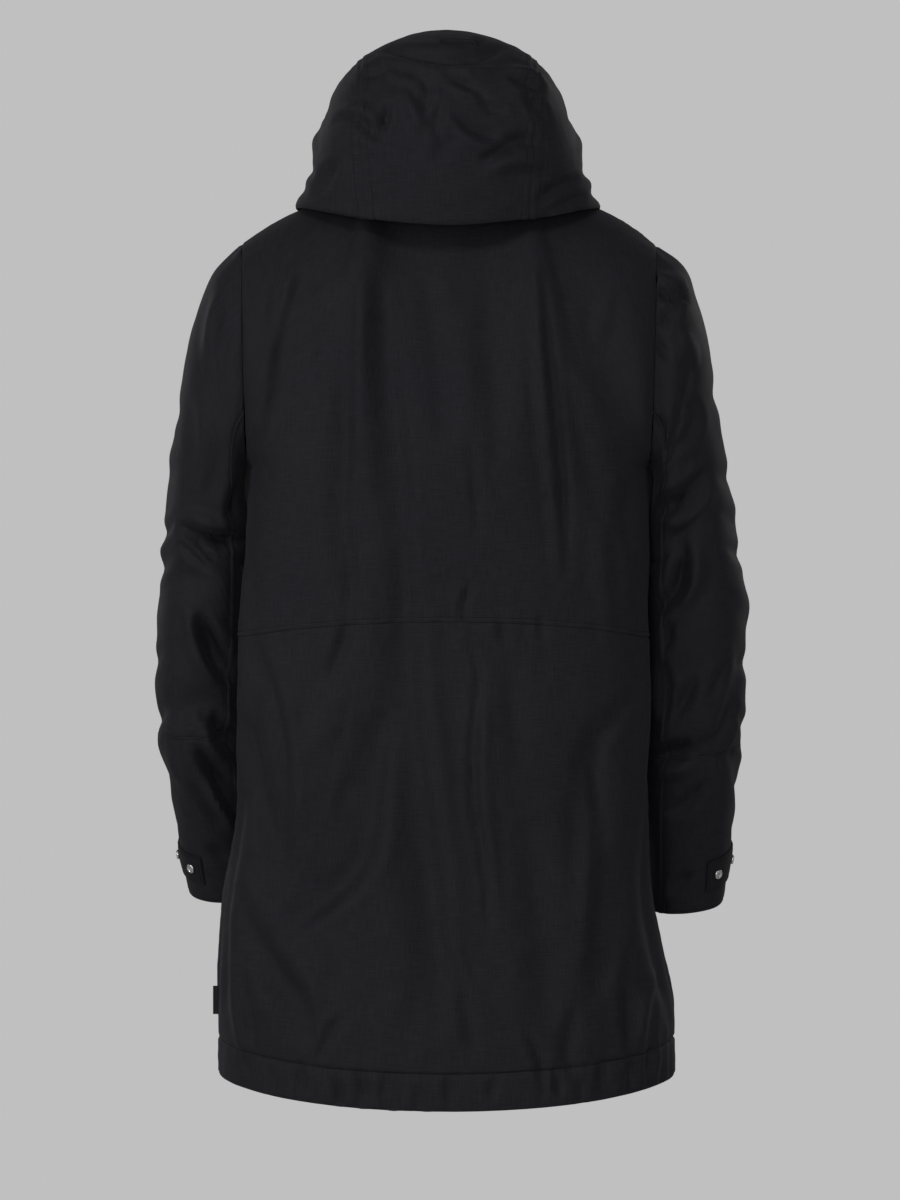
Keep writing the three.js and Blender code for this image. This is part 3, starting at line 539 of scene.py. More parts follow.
@dataclass(frozen=True)
class Fabric:
    """A woven finish: colours, sheen and the size of its weave in metres."""

    name: str
    dark: tuple[float, float, float]
    light: tuple[float, float, float]
    pitch: float
    weave: float
    crumple: float
    roughness: tuple[float, float]
    sheen: float
    specular: float

    def build(self, weave: bpy.types.NodeTree, patina: bpy.types.NodeTree) -> bpy.types.Material:
        """Return the material.

        Args:
            weave: the plain weave group.
            patina: the group of patches and crumples.
        """
        material = bpy.data.materials.new(self.name)
        material.use_nodes = True
        tree = material.node_tree
        tree.nodes.clear()
        nodes = Nodes(tree)
        threads = nodes.add("ShaderNodeGroup", node_tree=weave)
        threads.inputs["Pitch"].default_value = self.pitch
        handled = nodes.add("ShaderNodeGroup", node_tree=patina)
        blend = nodes.math("MULTIPLY_ADD", threads.outputs["Tone"], 4.4, -2.1)
        blend = nodes.math("MULTIPLY_ADD", handled.outputs["Patches"], 0.8, blend)
        colour = nodes.add("ShaderNodeMix", {"Factor": blend}, data_type="RGBA")
        colour.inputs[6].default_value = (*self.dark, 1.0)
        colour.inputs[7].default_value = (*self.light, 1.0)
        rough = nodes.add("ShaderNodeMapRange", {"Value": handled.outputs["Patches"]})
        rough.inputs["From Min"].default_value = 0.3
        rough.inputs["From Max"].default_value = 0.7
        rough.inputs["To Min"].default_value = self.roughness[0]
        rough.inputs["To Max"].default_value = self.roughness[1]
        crumpled = nodes.add("ShaderNodeBump", {"Height": handled.outputs["Crumples"], "Distance": 0.004})
        crumpled.inputs["Strength"].default_value = self.crumple
        woven = nodes.add("ShaderNodeBump", {"Height": threads.outputs["Height"], "Distance": 0.0001})
        woven.inputs["Strength"].default_value = self.weave
        tree.links.new(crumpled.outputs[0], woven.inputs["Normal"])
        shader = nodes.add(
            "ShaderNodeBsdfPrincipled",
            {
                "Base Color": colour.outputs[2],
                "Roughness": rough.outputs[0],
                "Normal": woven.outputs[0],
                "Sheen Weight": self.sheen,
                "Sheen Roughness": 0.45,
                "Specular IOR Level": self.specular,
            },
        )
        output = nodes.add("ShaderNodeOutputMaterial")
        tree.links.new(shader.outputs[0], output.inputs[0])
        return material


@dataclass(frozen=True)
class Metal:
    """A bright plated finish with fine scratches."""

    name: str
    colour: tuple[float, float, float]
    roughness: tuple[float, float]

    def build(self) -> bpy.types.Material:
        """Return the material."""
        material = bpy.data.materials.new(self.name)
        material.use_nodes = True
        tree = material.node_tree
        tree.nodes.clear()
        nodes = Nodes(tree)
        place = nodes.add("ShaderNodeTexCoord").outputs["Object"]
        marks = nodes.add("ShaderNodeTexNoise", {"Vector": place, "Scale": 900.0, "Detail": 3.0}).outputs[0]
        rough = nodes.add("ShaderNodeMapRange", {"Value": marks})
        rough.inputs["To Min"].default_value = self.roughness[0]
        rough.inputs["To Max"].default_value = self.roughness[1]
        bump = nodes.add("ShaderNodeBump", {"Height": marks, "Distance": 0.0001, "Strength": 0.12})
        shader = nodes.add(
            "ShaderNodeBsdfPrincipled",
            {
                "Base Color": (*self.colour, 1.0),
                "Metallic": 1.0,
                "Roughness": rough.outputs[0],
                "Normal": bump.outputs[0],
            },
        )
        output = nodes.add("ShaderNodeOutputMaterial")
        tree.links.new(shader.outputs[0], output.inputs[0])
        return material


@dataclass(frozen=True)
class Plain:
    """A plain matt finish for the studio."""

    name: str
    colour: tuple[float, float, float]

    def build(self) -> bpy.types.Material:
        """Return the material."""
        material = bpy.data.materials.new(self.name)
        material.use_nodes = True
        shader = material.node_tree.nodes["Principled BSDF"]
        shader.inputs["Base Color"].default_value = (*self.colour, 1.0)
        shader.inputs["Roughness"].default_value = 0.9
        return material


class Wardrobe:
    """The parka's finishes, each built once."""

    def __init__(self) -> None:
        """Build every material."""
        weave, patina = weave_group(), patina_group()
        self.shell = Fabric(
            "shell_cloth",
            dark=(0.0060, 0.0059, 0.0086),
            light=(0.0142, 0.0138, 0.0200),
            pitch=0.00055,
            weave=0.55,
            crumple=0.16,
            roughness=(0.66, 0.78),
            sheen=0.03,
            specular=0.26,
        ).build(weave, patina)
        self.trim = Fabric(
            "trim_cloth",
            dark=(0.0052, 0.0052, 0.0072),
            light=(0.0104, 0.0102, 0.014),
            pitch=0.0007,
            weave=0.7,
            crumple=0.05,
            roughness=(0.66, 0.76),
            sheen=0.03,
            specular=0.24,
        ).build(weave, patina)
        self.tape = Fabric(
            "label_tape",
            dark=(0.006, 0.006, 0.0065),
            light=(0.013, 0.013, 0.014),
            pitch=0.0009,
            weave=1.0,
            crumple=0.0,
            roughness=(0.7, 0.8),
            sheen=0.1,
            specular=0.3,
        ).build(weave, patina)
        self.thread = Plain("sewing_thread", (0.0022, 0.0022, 0.0026)).build()
        self.thread.node_tree.nodes["Principled BSDF"].inputs["Specular IOR Level"].default_value = 0.12
        self.nickel = Metal("nickel", (0.72, 0.72, 0.71), (0.18, 0.34)).build()


def add_object(name: str, mesh: bpy.types.Mesh, material: bpy.types.Material) -> bpy.types.Object:
    """Return a new object at the origin that rides with the parka."""
    mesh.materials.append(material)
    piece = bpy.data.objects.new(name, mesh)
    bpy.context.scene.collection.objects.link(piece)
    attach(piece, BODY_NAME)
    return piece


@dataclass
class ClothPiece:
    """A sewn panel of cloth that stands for one node of the frame."""

    node: str
    grid: ClothGrid
    material: bpy.types.Material
    slot: str = "shell_cloth"
    thickness: float = 3.0
    held: str = "hung"
    rests_on: tuple[str, ...] = ()

    def build(self) -> bpy.types.Object:
        """Return the finished panel, a thin closed shell with rounded edges."""
        piece = add_object(f"{self.node}_cloth", self.grid.mesh(self.node), self.material)
        wall = piece.modifiers.new("wall", "SOLIDIFY")
        wall.thickness = self.thickness * MM
        wall.offset = -1.0
        rim = piece.modifiers.new("rim", "BEVEL")
        rim.width = 0.35 * MM
        rim.segments = 2
        rim.limit_method = "ANGLE"
        rim.angle_limit = math.radians(55.0)
        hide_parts(self.node)
        width, length, area = self.grid.flat_size()
        log.info("%s: %.0f by %.0f mm, %d points", self.node, width / MM, length / MM, self.grid.points.size // 3)
        return piece


@dataclass
class Stitching:
    """Rows of thread stitches, joined in one mesh."""

    name: str
    material: bpy.types.Material
    pitch: float = 3.1
    length: float = 2.4
    width: float = 0.8
    height: float = 0.5
    sink: float = 0.1
    rows: list[tuple[Array, Array]] = field(default_factory=list)

    def add(self, points: Array, normals: Array) -> None:
        """Sew along a line of points, given with the cloth's normals."""
        lengths = np.concatenate([[0.0], np.cumsum(np.linalg.norm(np.diff(points, axis=0), axis=1))])
        places = np.arange(self.pitch, lengths[-1] - self.pitch / 2, self.pitch)
        if len(places) < 2:
            return
        spots = np.stack([np.interp(places, lengths, points[:, axis]) for axis in range(3)], axis=-1)
        out = unit(np.stack([np.interp(places, lengths, normals[:, axis]) for axis in range(3)], axis=-1))
        along = unit(np.gradient(spots, axis=0))
        across = unit(np.cross(out, along))
        self.rows.append((spots - out * self.sink, np.stack([along, across, out], axis=1)))

    def build(self) -> bpy.types.Object:
        """Return all the stitches as one piece: copies of a single rounded stitch."""
        bm = bmesh.new()
        bmesh.ops.create_uvsphere(bm, u_segments=5, v_segments=4, radius=0.5)
        bmesh.ops.rotate(bm, verts=bm.verts, matrix=Matrix.Rotation(math.radians(90.0), 3, "Y"))
        bmesh.ops.scale(bm, verts=bm.verts, vec=Vector((self.length, self.width, self.height)))
        one = bpy.data.meshes.new(f"{self.name}_one")
        bm.to_mesh(one)
        bm.free()
        shape = np.array([vertex.co[:] for vertex in one.vertices])
        sides = [list(face.vertices) for face in one.polygons]
        bpy.data.meshes.remove(one)
        spots = np.concatenate([row[0] for row in self.rows])
        turns = np.concatenate([row[1] for row in self.rows])
        points = (spots[:, None, :] + np.einsum("vk,skx->svx", shape, turns)).reshape(-1, 3) * MM
        faces = [[corner + copy * len(shape) for corner in side] for copy in range(len(spots)) for side in sides]
        mesh = bpy.data.meshes.new(self.name)
        mesh.from_pydata(points, [], faces)
        mesh.shade_smooth()
        piece = add_object(self.name, mesh, self.material)
        log.info("%s: %d stitches", self.name, len(spots))
        return piece


@dataclass(frozen=True)
class Neck:
    """The neck opening, a saddle, and the stand collar sewn to it."""

    half_width: float = 80.0
    middle_y: float = -8.0
    back: float = 70.0
    front: float = 64.0
    side_z: float = 40.0
    back_drop: float = 18.0
    front_drop: float = 85.0
    height: float = 48.0
    lean: float = 7.0
    front_rise: float = 26.0
    back_rise: float = 10.0

    def seam(self, turn: Array) -> Array:
        """Return points of the neck seam."""
        s = sine(turn)
        depth = np.where(s > 0, self.back, self.front)
        drop = np.where(s > 0, self.back_drop, self.front_drop)
        return join(self.half_width * cosine(turn), self.middle_y + depth * s, self.side_z - drop * s * s)

    def collar(self, turn: Array, up: Array) -> Array:
        """Return points of the collar, up 0 at the neck seam and 1 at the top edge."""
        point = self.seam(turn)
        inward = unit(join(-point[..., 0], self.middle_y - point[..., 1], 0.0 * point[..., 2]))
        s = sine(turn)
        rise = self.height + np.where(s > 0, self.back_rise, self.front_rise) * s * s
        point = point + inward * (self.lean * np.asarray(up))[..., None]
        point[..., 2] += rise * up
        return point


@dataclass(frozen=True)
class SleeveForm:
    """One sleeve from armhole to cuff. side is 1 on the wearer's left and -1 on the right."""

    side: int
    rings: Table
    folds: tuple[tuple[float, ...], ...]
    elbow: float
    square: float = 0.1
    run_step: float = 8.0
    mm_per_degree: float = 1.05
    seam_gap: float = 0.3

    @property
    def end(self) -> float:
        """Return the length of the sleeve at its cuff."""
        return self.rings.rows[-1][0]

    def middle(self, at: Array) -> Array:
        """Return the middle of each ring."""
        ring = self.rings
        x, y, z = (ring.at("out" + axis, at) + ring.at("in" + axis, at) for axis in "XYZ")
        return join(self.side * x / 2, y / 2, z / 2)

    def across(self, at: Array) -> Array:
        """Return the line across each ring from its inner to its outer point."""
        ring = self.rings
        x, y, z = (ring.at("out" + axis, at) - ring.at("in" + axis, at) for axis in "XYZ")
        return join(self.side * x, y, z)

    def ring(self, turn: Array, at: Array) -> Array:
        """Return points of the sleeve without its folds."""
        turn, at = np.broadcast_arrays(turn, at)
        across = self.across(at)
        half = np.linalg.norm(across, axis=-1) / 2
        across = unit(across)
        run = self.middle(np.minimum(at + self.run_step, self.end)) - self.middle(np.maximum(at - self.run_step, 0.0))
        back = np.cross(across, run)
        back = unit(join(0.0 * back[..., 0], np.abs(back[..., 1]), back[..., 2] * np.sign(back[..., 1])))
        depth = self.rings.at("depth", at)
        c, s = cosine(turn), sine(turn)
        wide = half * c * (1 + self.square * s * s)
        deep = depth * s * (1 + self.square * c * c)
        return self.middle(at) + across * wide[..., None] + back * deep[..., None]

    def points(self, turn: Array, at: Array) -> Array:
        """Return points of the sleeve with its largest folds."""
        turn, at = np.broadcast_arrays(turn, at)
        point = self.ring(turn, at)
        shown = ease(at, 0.0, 60.0) * (1 - ease(at, self.end - 45.0, self.end - 10.0))
        wrapped = np.mod(turn + 180.0, 360.0) - 180.0
        k = self.mm_per_degree
        height = sum(
            large_fold(wrapped * k, at, turn0 * k, at0, turn1 * k, at1, width, high)
            for turn0, at0, turn1, at1, width, high in self.folds
        )
        outward = unit(point - self.middle(at))
        point = point + outward * (height * shown)[..., None]
        point[..., 0] += self.side * self.seam_gap * (1 - ease(at, 0.0, 20.0))
        return point


def large_fold(
    a: Array, b: Array, a0: float, b0: float, a1: float, b1: float, width: float, height: float
) -> Array:
    """Return the height of one of the frame's own large folds, a line from (a0, b0) to (a1, b1)."""
    run_a, run_b = a1 - a0, b1 - b0
    length = math.hypot(run_a, run_b)
    along = ((a - a0) * run_a + (b - b0) * run_b) / length
    across = ((a - a0) * run_b - (b - b0) * run_a) / length
    fade = ease(along, -width, length * 0.3) * (1 - ease(along, length * 0.7, length + width))
    return height * fade * np.exp(-((across / width) ** 2))


LEFT_SLEEVE = SleeveForm(
    side=1,
    rings=Table(
        ("at", "outX", "outY", "outZ", "inX", "inY", "inZ", "depth"),
        (
            (0, 211, -3, -20, 205, 15, -250, 70),
            (40, 240, -6, -46, 208, 8, -257, 74),
            (78, 257, -9, -84, 209, 0, -266, 77),
            (128, 271, -14, -134, 207, -12, -280, 78),
            (192, 280, -20, -196, 203, -24, -302, 76),
            (262, 288, -26, -268, 202, -32, -338, 73),
            (335, 294, -31, -340, 203, -38, -382, 70),
            (392, 297, -34, -397, 204, -42, -424, 67),
            (450, 300, -37, -454, 206, -46, -468, 65),
            (510, 301, -40, -514, 207, -48, -508, 62),
            (545, 295, -48, -546, 204, -57, -540, 60),
            (590, 287, -62, -588, 199, -72, -584, 56),
            (645, 281, -82, -643, 195, -91, -640, 52),
            (690, 274, -97, -688, 191, -105, -690, 49),
        ),
    ),
    # turn and length of one end, turn and length of the other, half width, height
    folds=(
        (-20, 505, 120, 480, 16, -6),
        (30, 535, 110, 590, 16, 5),
        (100, 330, 30, 352, 17, -6),
        (95, 300, 125, 250, 20, -7),
        (120, 430, 80, 400, 16, -5),
        (20, 60, 80, 110, 18, -5),
        (-40, 310, -110, 350, 18, -6),
        (-50, 560, -110, 540, 16, -5),
    ),
    elbow=515.0,
)
RIGHT_SLEEVE = SleeveForm(
    side=-1,
    rings=Table(
        ("at", "outX", "outY", "outZ", "inX", "inY", "inZ", "depth"),
        (
            (0, 213, -3, -22, 206, 15, -250, 70),
            (40, 243, -6, -42, 209, 8, -257, 74),
            (78, 257, -9, -78, 210, 0, -266, 77),
            (128, 268, -14, -116, 208, -12, -280, 78),
            (192, 276, -20, -178, 203, -24, -302, 76),
            (262, 286, -25, -248, 200, -31, -338, 73),
            (335, 296, -29, -322, 198, -36, -382, 70),
            (392, 304, -31, -392, 198, -38, -424, 68),
            (450, 305, -33, -452, 198, -40, -470, 66),
            (510, 304, -36, -510, 199, -42, -518, 63),
            (550, 302, -42, -546, 200, -49, -552, 60),
            (595, 298, -54, -590, 200, -62, -594, 56),
            (650, 295, -72, -646, 203, -79, -648, 52),
            (695, 290, -87, -696, 206, -94, -703, 49),
        ),
    ),
    folds=(
        (-10, 545, 120, 525, 16, -6),
        (15, 430, 60, 520, 16, -5),
        (120, 290, 60, 262, 20, -7),
        (110, 100, 60, 82, 18, -7),
        (100, 200, 60, 250, 18, -4),
        (35, 372, -20, 400, 14, 4),
        (-40, 330, -105, 300, 18, -6),
        (-50, 540, -110, 560, 16, -5),
    ),
    elbow=535.0,
)


@dataclass(frozen=True)
class BodyForm:
    """The body from hem to shoulders, rise 0 at the hem, 1 at the waist, 2 underarm, 3 top edge."""

    neck: Neck
    left: SleeveForm
    right: SleeveForm
    rings: Table = Table(
        ("z", "left", "right", "sideY", "back", "front"),
        (
            (-900, 236, 233, 4, 139, 134),
            (-860, 236, 233, 6, 138, 134),
            (-800, 235, 231, 10, 137, 133),
            (-745, 232, 219, 18, 134, 131),
            (-690, 228, 208, 28, 130, 129),
            (-600, 215, 204, 36, 123, 127),
            (-500, 213, 203, 40, 117, 126),
            (-420, 211, 202, 40, 116, 126),
            (-340, 207, 205, 34, 121, 128),
            (-250, 205, 206, 15, 127, 126),
        ),
    )
    # x and z of one end, x and z of the other, half width, height
    back_folds: tuple[tuple[float, ...], ...] = (
        (205, -495, 168, -672, 20, -8),
        (66, -490, 160, -690, 22, -9),
        (180, -440, 150, -640, 24, 7),
        (40, -445, 12, -640, 20, 5),
        (-145, -520, -140, -640, 22, -8),
        (-40, -470, -44, -640, 22, 5),
        (205, -655, 110, -690, 24, -6),
        (110, -90, 105, -390, 26, -4),
        (55, -70, 54, -350, 24, -4),
        (-100, -80, -115, -350, 26, -5),
    )
    front_folds: tuple[tuple[float, ...], ...] = (
        (150, -110, 120, -380, 28, -5),
        (-148, -120, -112, -400, 28, -6),
        (120, -470, 165, -760, 26, -7),
        (-105, -500, -150, -800, 26, -6),
        (84, -560, 96, -850, 24, 5),
        (-92, -430, -84, -700, 24, 5),
    )
    hem_side_z: float = -871.0
    hem_back_drop: float = 24.0
    hem_front_drop: float = 4.0
    waist_side_z: float = -424.0
    waist_back_rise: float = 16.0
    underarm_z: float = -250.0
    square: float = 0.13
    shoulder_arch: float = 5.0
    shoulder_round_back: float = 1.35
    shoulder_round_front: float = 0.9
    shoulder_angle: float = 50.0
    neck_turn: float = 36.0
    neck_pull: float = 0.7
    armhole_reach: float = 46.0
    chest_run: float = 10.0

    def ring(self, turn: Array, z: Array) -> Array:
        """Return points of the rings below the underarm."""
        c, s = cosine(turn), sine(turn)
        side_y = self.rings.at("sideY", z)
        width = np.where(c > 0, self.rings.at("left", z), self.rings.at("right", z))
        depth = np.where(s > 0, self.rings.at("back", z) - side_y, self.rings.at("front", z) + side_y)
        across = width * c * (1 + self.square * s * s)
        return join(across, side_y + depth * s * (1 + self.square * c * c), z)

    def armhole(self, side: Array, face: int, up: Array) -> Array:
        """Return points of the armhole, up 0 under the arm and 1 at the shoulder tip."""
        turn = face * 180.0 * (1.0 - np.asarray(up, dtype=float))
        at = np.zeros_like(turn)
        left, right = self.left.ring(turn, at), self.right.ring(turn, at)
        return np.where((np.asarray(side) > 0)[..., None], left, right)

    def top(self, turn: Array, face: int) -> Array:
        """Return the upper edge of a panel: shoulder seam, neck seam, shoulder seam."""
        side = np.where(cosine(turn) >= 0, 1, -1)
        from_side = np.where(side > 0, np.abs(turn), 180.0 - np.abs(turn))
        mirror = join(side, np.ones_like(side), np.ones_like(side))
        at_neck = self.neck.seam(face * 90.0 * (from_side - self.shoulder_angle) / (90.0 - self.shoulder_angle))
        share = np.clip(from_side / self.shoulder_angle, 0.0, 1.0)
        tip = self.armhole(side, face, np.ones_like(from_side))
        neck = self.neck.seam(np.zeros_like(from_side)) * mirror
        shoulder = tip + (neck - tip) * share[..., None]
        shoulder[..., 2] += self.shoulder_arch * 4.0 * share * (1.0 - share)
        return np.where((from_side > self.shoulder_angle)[..., None], at_neck * mirror, shoulder)

    def yoke(self, turn: Array, up: Array, face: int) -> Array:
        """Return points above the underarm, each column one curve up to the top edge."""
        start = self.ring(turn, np.full_like(turn, self.underarm_z))
        below = self.ring(turn, np.full_like(turn, self.underarm_z - self.chest_run))
        end = self.top(turn, face)
        length = np.linalg.norm(end - start, axis=-1, keepdims=True)
        leave = unit(start - below) * length
        from_side = np.where(cosine(turn) >= 0, np.abs(turn), 180.0 - np.abs(turn))
        to_neck = ease(from_side, self.shoulder_angle, self.shoulder_angle + self.neck_turn)[..., None]
        to_middle = ease(from_side, 0.0, 90.0)
        inward = unit(join(-end[..., 0], self.neck.middle_y - end[..., 1], 0.0 * turn)) * self.neck.lean
        up_collar = unit(inward + np.array([0.0, 0.0, self.neck.height]))
        over_seam = np.array([0.0, -float(face), 0.0])
        roundness = self.shoulder_round_back if face > 0 else self.shoulder_round_front
        pull = roundness + (self.neck_pull - roundness) * to_middle
        arrive = unit(over_seam + (up_collar - over_seam) * to_neck) * length * pull[..., None]
        t = np.asarray(up)[..., None]
        return (
            start * (2 * t**3 - 3 * t**2 + 1)
            + leave * (t**3 - 2 * t**2 + t)
            + end * (-2 * t**3 + 3 * t**2)
            + arrive * (t**3 - t**2)
        )

    def shaped_yoke(self, turn: Array, up: Array, face: int) -> Array:
        """Return the same points with the side edges drawn to the armhole."""
        side = np.where(cosine(turn) >= 0, 1, -1)
        from_side = np.where(side > 0, np.abs(turn), 180.0 - np.abs(turn))
        edge = self.yoke(np.where(side > 0, 0.0, 180.0), up, face)
        pull = self.armhole(side, face, up) - edge
        return self.yoke(turn, up, face) + pull * (1 - ease(from_side, 0.0, self.armhole_reach))[..., None]

    def points(self, turn: Array, rise: Array, face: int) -> Array:
        """Return points of the body with its largest folds, at the back or the front."""
        turn, rise = (np.asarray(a, dtype=float) for a in np.broadcast_arrays(turn, rise))
        s = sine(turn)
        hem = self.hem_side_z - (self.hem_back_drop if face > 0 else self.hem_front_drop) * s * s
        waist = self.waist_side_z + (self.waist_back_rise if face > 0 else 0.0) * s * s
        low = hem + (waist - hem) * np.clip(rise, 0.0, 1.0)
        z = low + (self.underarm_z - waist) * np.clip(rise - 1.0, 0.0, 1.0)
        below = self.ring(turn, z)
        above = self.shaped_yoke(turn, np.clip(rise - 2.0, 0.0, 1.0), face)
        point = np.where((rise <= 2.0)[..., None], below, above)
        shown = ease(np.abs(s), 0.05, 0.35) * (1 - ease(rise, 2.6, 3.0))
        folds = self.back_folds if face > 0 else self.front_folds
        x, z = point[..., 0].copy(), point[..., 2].copy()
        point[..., 1] += face * shown * sum(large_fold(x, z, *fold) for fold in folds)
        return point

    def back(self, turn: Array, rise: Array) -> Array:
        """Return points of the back."""
        return self.points(turn, rise, 1)

    def front(self, turn: Array, rise: Array) -> Array:
        """Return points of the front, for turns below 0."""
        return self.points(turn, rise, -1)


@dataclass(frozen=True)
class HoodForm:
    """The hood, column 0 at the left face edge, 90 at the middle of the back and 180 at the right."""

    neck: Neck
    rings: Table = Table(
        ("at", "half", "sideY", "sideZ", "backY", "backZ", "arch"),
        (
            (0, 82, -8, 48, 66, 31, 2),
            (20, 104, -4, 43, 81, 24, 2),
            (45, 128, 0, 32, 94, 9, 2),
            (80, 156, 8, 16, 107, -10, 2),
            (100, 151, 10, 32, 112, 4, 2),
            (140, 139, 10, 66, 121, 50, 1.7),
            (190, 128, 6, 105, 119, 104, 1.4),
            (245, 113.5, 0, 139, 98, 156, 1.4),
            (295, 102, -20, 152, 56, 188, 1.6),
            (350, 96, -54, 151, -4, 199.5, 1.6),
            (400, 93.4, -84, 151, -58, 190, 1.4),
            (440, 92, -103, 152, -103, 176, 1.2),
        ),
    )
    face: Table = Table(
        ("at", "x", "y", "z"),
        (
            (0, 39, -75, -15),
            (20, 43, -86, -7),
            (45, 49, -97, -14),
            (80, 57, -110, -16),
            (100, 62, -116, -4),
            (140, 78, -121, 30),
            (190, 92, -119, 72),
            (245, 97, -113, 112),
            (295, 97, -108, 134),
            (350, 95, -105, 146),
            (400, 93, -104, 151),
            (440, 91.9, -103, 152),
        ),
    )
    folds: tuple[tuple[float, ...], ...] = (
        (76, 166, 8, 150, 13, -5),
        (8, 149, -58, 168, 13, -5),
        (84, 128, 40, 146, 13, -4),
        (-12, 104, -100, 76, 15, -4),
        (98, 98, 62, 62, 15, 4),
        (-60, 132, -108, 128, 12, 4),
    )
    top: float = 440.0
    seat: float = 0.34
    seat_gap: float = 0.9
    seat_end: float = 18.0
    square: float = 0.16
    shift: float = 1.0
    seam_column: float = 52.0
    seam_x: float = 81.5
    seam_most: float = 0.985

    def points(self, column: Array, at: Array) -> Array:
        """Return points of the hood with its largest folds."""
        column, at = (np.asarray(a, dtype=float) for a in np.broadcast_arrays(column, at))
        row = {key: self.rings.at(key, at) for key in self.rings.columns[1:]}
        edge = {key: self.face.at(key, at) for key in self.face.columns[1:]}
        side = np.where(column <= 90.0, 1.0, -1.0)
        from_edge = np.where(side > 0, column, 180.0 - column)
        front = -np.degrees(np.arccos(np.minimum(edge["x"] / row["half"], 1.0)))
        seam = np.degrees(np.arccos(np.minimum(self.seam_x / row["half"], self.seam_most)))
        on_side = front + (seam - front) * from_edge / self.seam_column
        on_middle = seam + (90.0 - seam) * (from_edge - self.seam_column) / (90.0 - self.seam_column)
        turn = np.where(from_edge < self.seam_column, on_side, on_middle)
        c, s = cosine(turn), sine(turn)
        square = self.square * ease(at, 60.0, 200.0)
        x = side * row["half"] * c * (1 + square * s * s)
        behind_y = row["sideY"] + (row["backY"] - row["sideY"]) * s * (1 + square * c * c)
        behind_z = row["sideZ"] + (row["backZ"] - row["sideZ"]) * np.maximum(s, 0.0) ** row["arch"]
        share = s / sine(front)
        before_y = row["sideY"] + (edge["y"] - row["sideY"]) * share
        before_z = row["sideZ"] + (edge["z"] - row["sideZ"]) * share**2
        point = join(x, np.where(turn >= 0, behind_y, before_y), np.where(turn >= 0, behind_z, before_z))
        seat = self.neck.collar(turn, np.full_like(turn, self.seat))
        out = unit(join(seat[..., 0], seat[..., 1] - self.neck.middle_y, 0.0 * turn))
        seat = (seat + out * self.seat_gap) * join(side, np.ones_like(side), np.ones_like(side))
        sewn = (1 - ease(at, 0.0, self.seat_end))[..., None]
        point = point + (seat - point) * sewn
        point[..., 0] += self.shift * ease(at, 60.0, 160.0)
        shown = ease(point[..., 1], 0.0, 60.0) * ease(at, 110.0, 160.0)
        fold_x, fold_z = point[..., 0].copy(), point[..., 2].copy()
        point[..., 1] += shown * sum(large_fold(fold_x, fold_z, *fold) for fold in self.folds)
        return point


